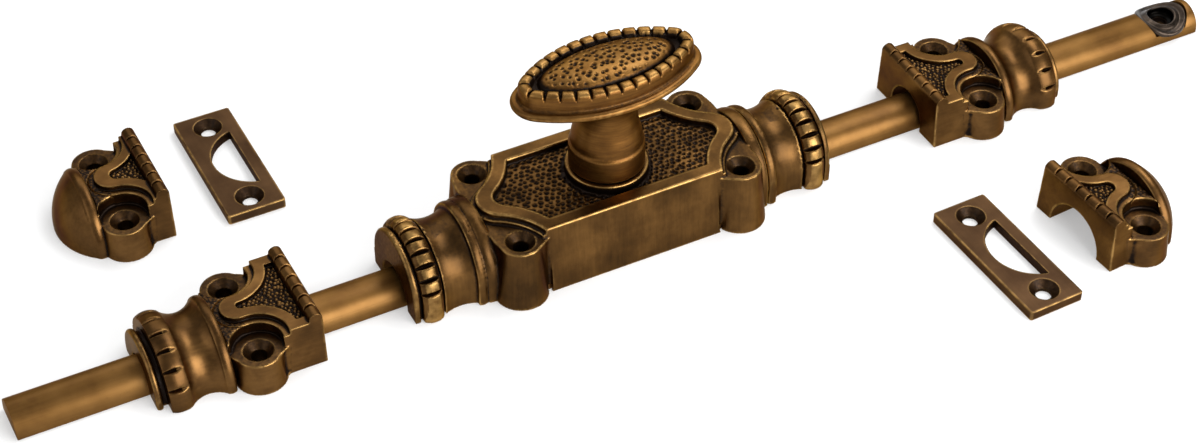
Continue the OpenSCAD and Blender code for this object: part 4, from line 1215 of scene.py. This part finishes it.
# %% Brass of each piece
# the near-black tone stands for patina and for painted shade; the bright one for worn brass and for
# painted highlight
PATINA_AND_SHADE, WORN_AND_HIGHLIGHT = tone(26, 17, 11), tone(222, 176, 104)
case_brass = antique_brass("case_brass", tone(57, 38, 16), tone(79, 54, 25), tone(105, 74, 37),
                           PATINA_AND_SHADE, WORN_AND_HIGHLIGHT, (900, 900, 60))
shield_brass = antique_brass("shield_brass", tone(60, 40, 18), tone(82, 56, 27),
                             tone(107, 76, 40), PATINA_AND_SHADE, WORN_AND_HIGHLIGHT, (120, 900, 900), wear_and_sheen=0.4)
knob_brass = antique_brass("knob_brass", tone(76, 48, 19), tone(98, 65, 27), tone(124, 86, 39),
                           PATINA_AND_SHADE, WORN_AND_HIGHLIGHT, (120, 120, 1500), gloss=0.4, lines=0.45)
rod_brass = antique_brass("rod_brass", tone(92, 63, 30), tone(109, 77, 38), tone(122, 88, 46),
                          PATINA_AND_SHADE, WORN_AND_HIGHLIGHT, (30, 1500, 1500), gloss=0.46)
plate_brass = antique_brass("plate_brass", tone(55, 37, 22), tone(67, 47, 29), tone(81, 58, 37),
                            PATINA_AND_SHADE, WORN_AND_HIGHLIGHT, (900, 60, 900), gloss=0.42)
for material, pieces in ((case_brass, [case]), (knob_brass, [knob]),
                         (shield_brass, [top_guide, bottom_guide, top_keeper, bottom_keeper]),
                         (rod_brass, [top_rod, bottom_rod]),
                         (plate_brass, [top_plate, bottom_plate])):
    for piece in pieces:
        piece.data.materials.clear()
        piece.data.materials.append(material)
        print(piece.name, "is finished in", material.name)

# %% [markdown]
# ## Steel and plain brass
# The washer is dark burnished steel. The parts behind the case, such as the racks, the pinion and
# the screws, keep their solids, because machined parts look like their solids, and only get a
# finish with turning marks and a trace of oil.


# %% Steel
def machined(name, low, high, gloss, brush):
    """Machined metal with fine tool marks, patches of oil, and near-black painted shade where
    hollow is set.
    """
    m = Nodes(name)
    where = m.add("TexCoord").outputs["Object"]
    strokes = m.noise(m.stretched(where, brush), scale=1, rough=0.6)
    oil = m.noise(where, scale=160)
    shade = m.maths("ADD", m.maths("MULTIPLY", strokes, 0.6), m.maths("MULTIPLY", oil, 0.4))
    colour = m.mix(m.remap(shade, 0.35, 0.65), low, high)
    # painted shade: near black where the attribute hollow is set, as in the washer's cup
    colour = m.mix(m.attribute("hollow"), colour, tone(8, 7, 6))
    rough = m.maths("ADD", gloss, m.remap(oil, 0.3, 0.7, -0.08, 0.1))
    bump = m.add("Bump", Strength=0.3, Distance=0.02 * MM, Height=strokes)
    shader = m.add("BsdfPrincipled", Base_Color=colour, Roughness=rough, Metallic=1.0,
                   Normal=bump.outputs["Normal"])
    m.add("OutputMaterial", Surface=shader.outputs["BSDF"])
    return m.material


dark_steel = machined("dark_steel", tone(39, 33, 28), tone(69, 59, 51), 0.3, (500, 500, 500))
bright_steel = machined("bright_steel", tone(120, 118, 114), tone(160, 158, 154), 0.32,
                        (120, 1500, 1500))
plain_brass = machined("plain_brass", tone(92, 64, 34), tone(124, 88, 46), 0.36, (60, 1200, 1200))
end_washer.data.materials.clear()
end_washer.data.materials.append(dark_steel)
steel_nodes = ["back_plate_screw_1", "back_plate_screw_2", "back_plate_screw_3",
               "back_plate_screw_4", "top_rod_screw", "bottom_rod_screw", "friction_washer",
               "spindle", "pinion", "top_rack", "bottom_rack"]
for material, nodes in ((plain_brass, ["back_plate", "spindle_bush"]), (bright_steel, steel_nodes)):
    for node in nodes:
        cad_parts[node].material_slots[0].material = material
    print(len(nodes), "inner pieces are finished in", material.name)

# %% [markdown]
# ## The table
# The set lies on a white table that runs out of sight. A white floor under soft lamps comes out
# grey, and more light would bleach the brass. So the floor glows a little, but only for the camera
# and in reflections, which the Light Path node tells apart, and it still takes the soft shadow.
# Its back is see-through, so that the underside can be looked at.

# %% Floor
TABLE_Z = -0.15 * MM
bpy.ops.object.select_all(action="DESELECT")
bpy.ops.mesh.primitive_plane_add(size=8, location=(0, 0, TABLE_Z))
floor = bpy.context.object
floor.name = "table"
floor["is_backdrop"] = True
m = Nodes("white_table")
path = m.add("LightPath").outputs
seen = m.maths("MAXIMUM", path["Is Camera Ray"], path["Is Glossy Ray"])
seen = m.maths("MAXIMUM", seen, path["Is Transmission Ray"])
matt = m.add("BsdfDiffuse", Color=(0.6, 0.6, 0.6, 1)).outputs[0]
glow = m.add("Emission", Color=(1, 1, 1, 1), Strength=m.maths("MULTIPLY", seen, 0.35)).outputs[0]
front = m.join("AddShader", matt, glow)
back = m.add("BsdfTransparent").outputs[0]
behind = m.add("NewGeometry").outputs["Backfacing"]
m.add("OutputMaterial", Surface=m.join("MixShader", behind, front, back))
floor.data.materials.append(m.material)
print("table lies", round(-TABLE_Z / MM, 2), "mm under the set")

# %% [markdown]
# ## Light
# Brass shows what it reflects, so the lamps are large soft panels. The strongest stands low at the
# front right and lights the upright walls. A wide one behind and a small one overhead draw the
# highlights along the rods and edges. A weak one on the left keeps the shaded side from going
# black. An even grey world fills the rest.


# %% Lamps and world
def lamp(name, at, size, power):
    """A soft panel that points at the middle of the set."""
    bpy.ops.object.select_all(action="DESELECT")
    bpy.ops.object.light_add(type="AREA", location=at)
    light = bpy.context.object
    light.name = name
    light.data.shape, light.data.size, light.data.size_y = "RECTANGLE", size[0], size[1]
    light.data.energy = power
    light.rotation_euler = facing(Vector(at), Vector((0, 0, 0)))


lamp("front_panel", at=(0.42, -0.95, 0.42), size=(1.1, 0.75), power=21)
lamp("back_panel", at=(0.42, 0.8, 0.9), size=(1.6, 0.9), power=7.4)
lamp("right_panel", at=(0.5, 0.1, 0.95), size=(0.6, 0.45), power=5)
lamp("left_panel", at=(-0.9, -0.1, 0.6), size=(0.5, 0.8), power=1.9)
world = bpy.data.worlds.new("studio")
bpy.context.scene.world = world
world.use_nodes = True
sky = world.node_tree.nodes["Background"].inputs
sky["Color"].default_value = (1, 1, 1, 1)
sky["Strength"].default_value = 0.5
bpy.context.scene.view_settings.view_transform = "Standard"

# %% [markdown]
# ## Sizes
# The dressed set has to stay as large as the solid model. The box of all that is shown is printed.

# %% The size of the dressed set
low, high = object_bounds()
print("box:", [round((b - a) / MM, 2) for a, b in zip(low, high)], "mm")
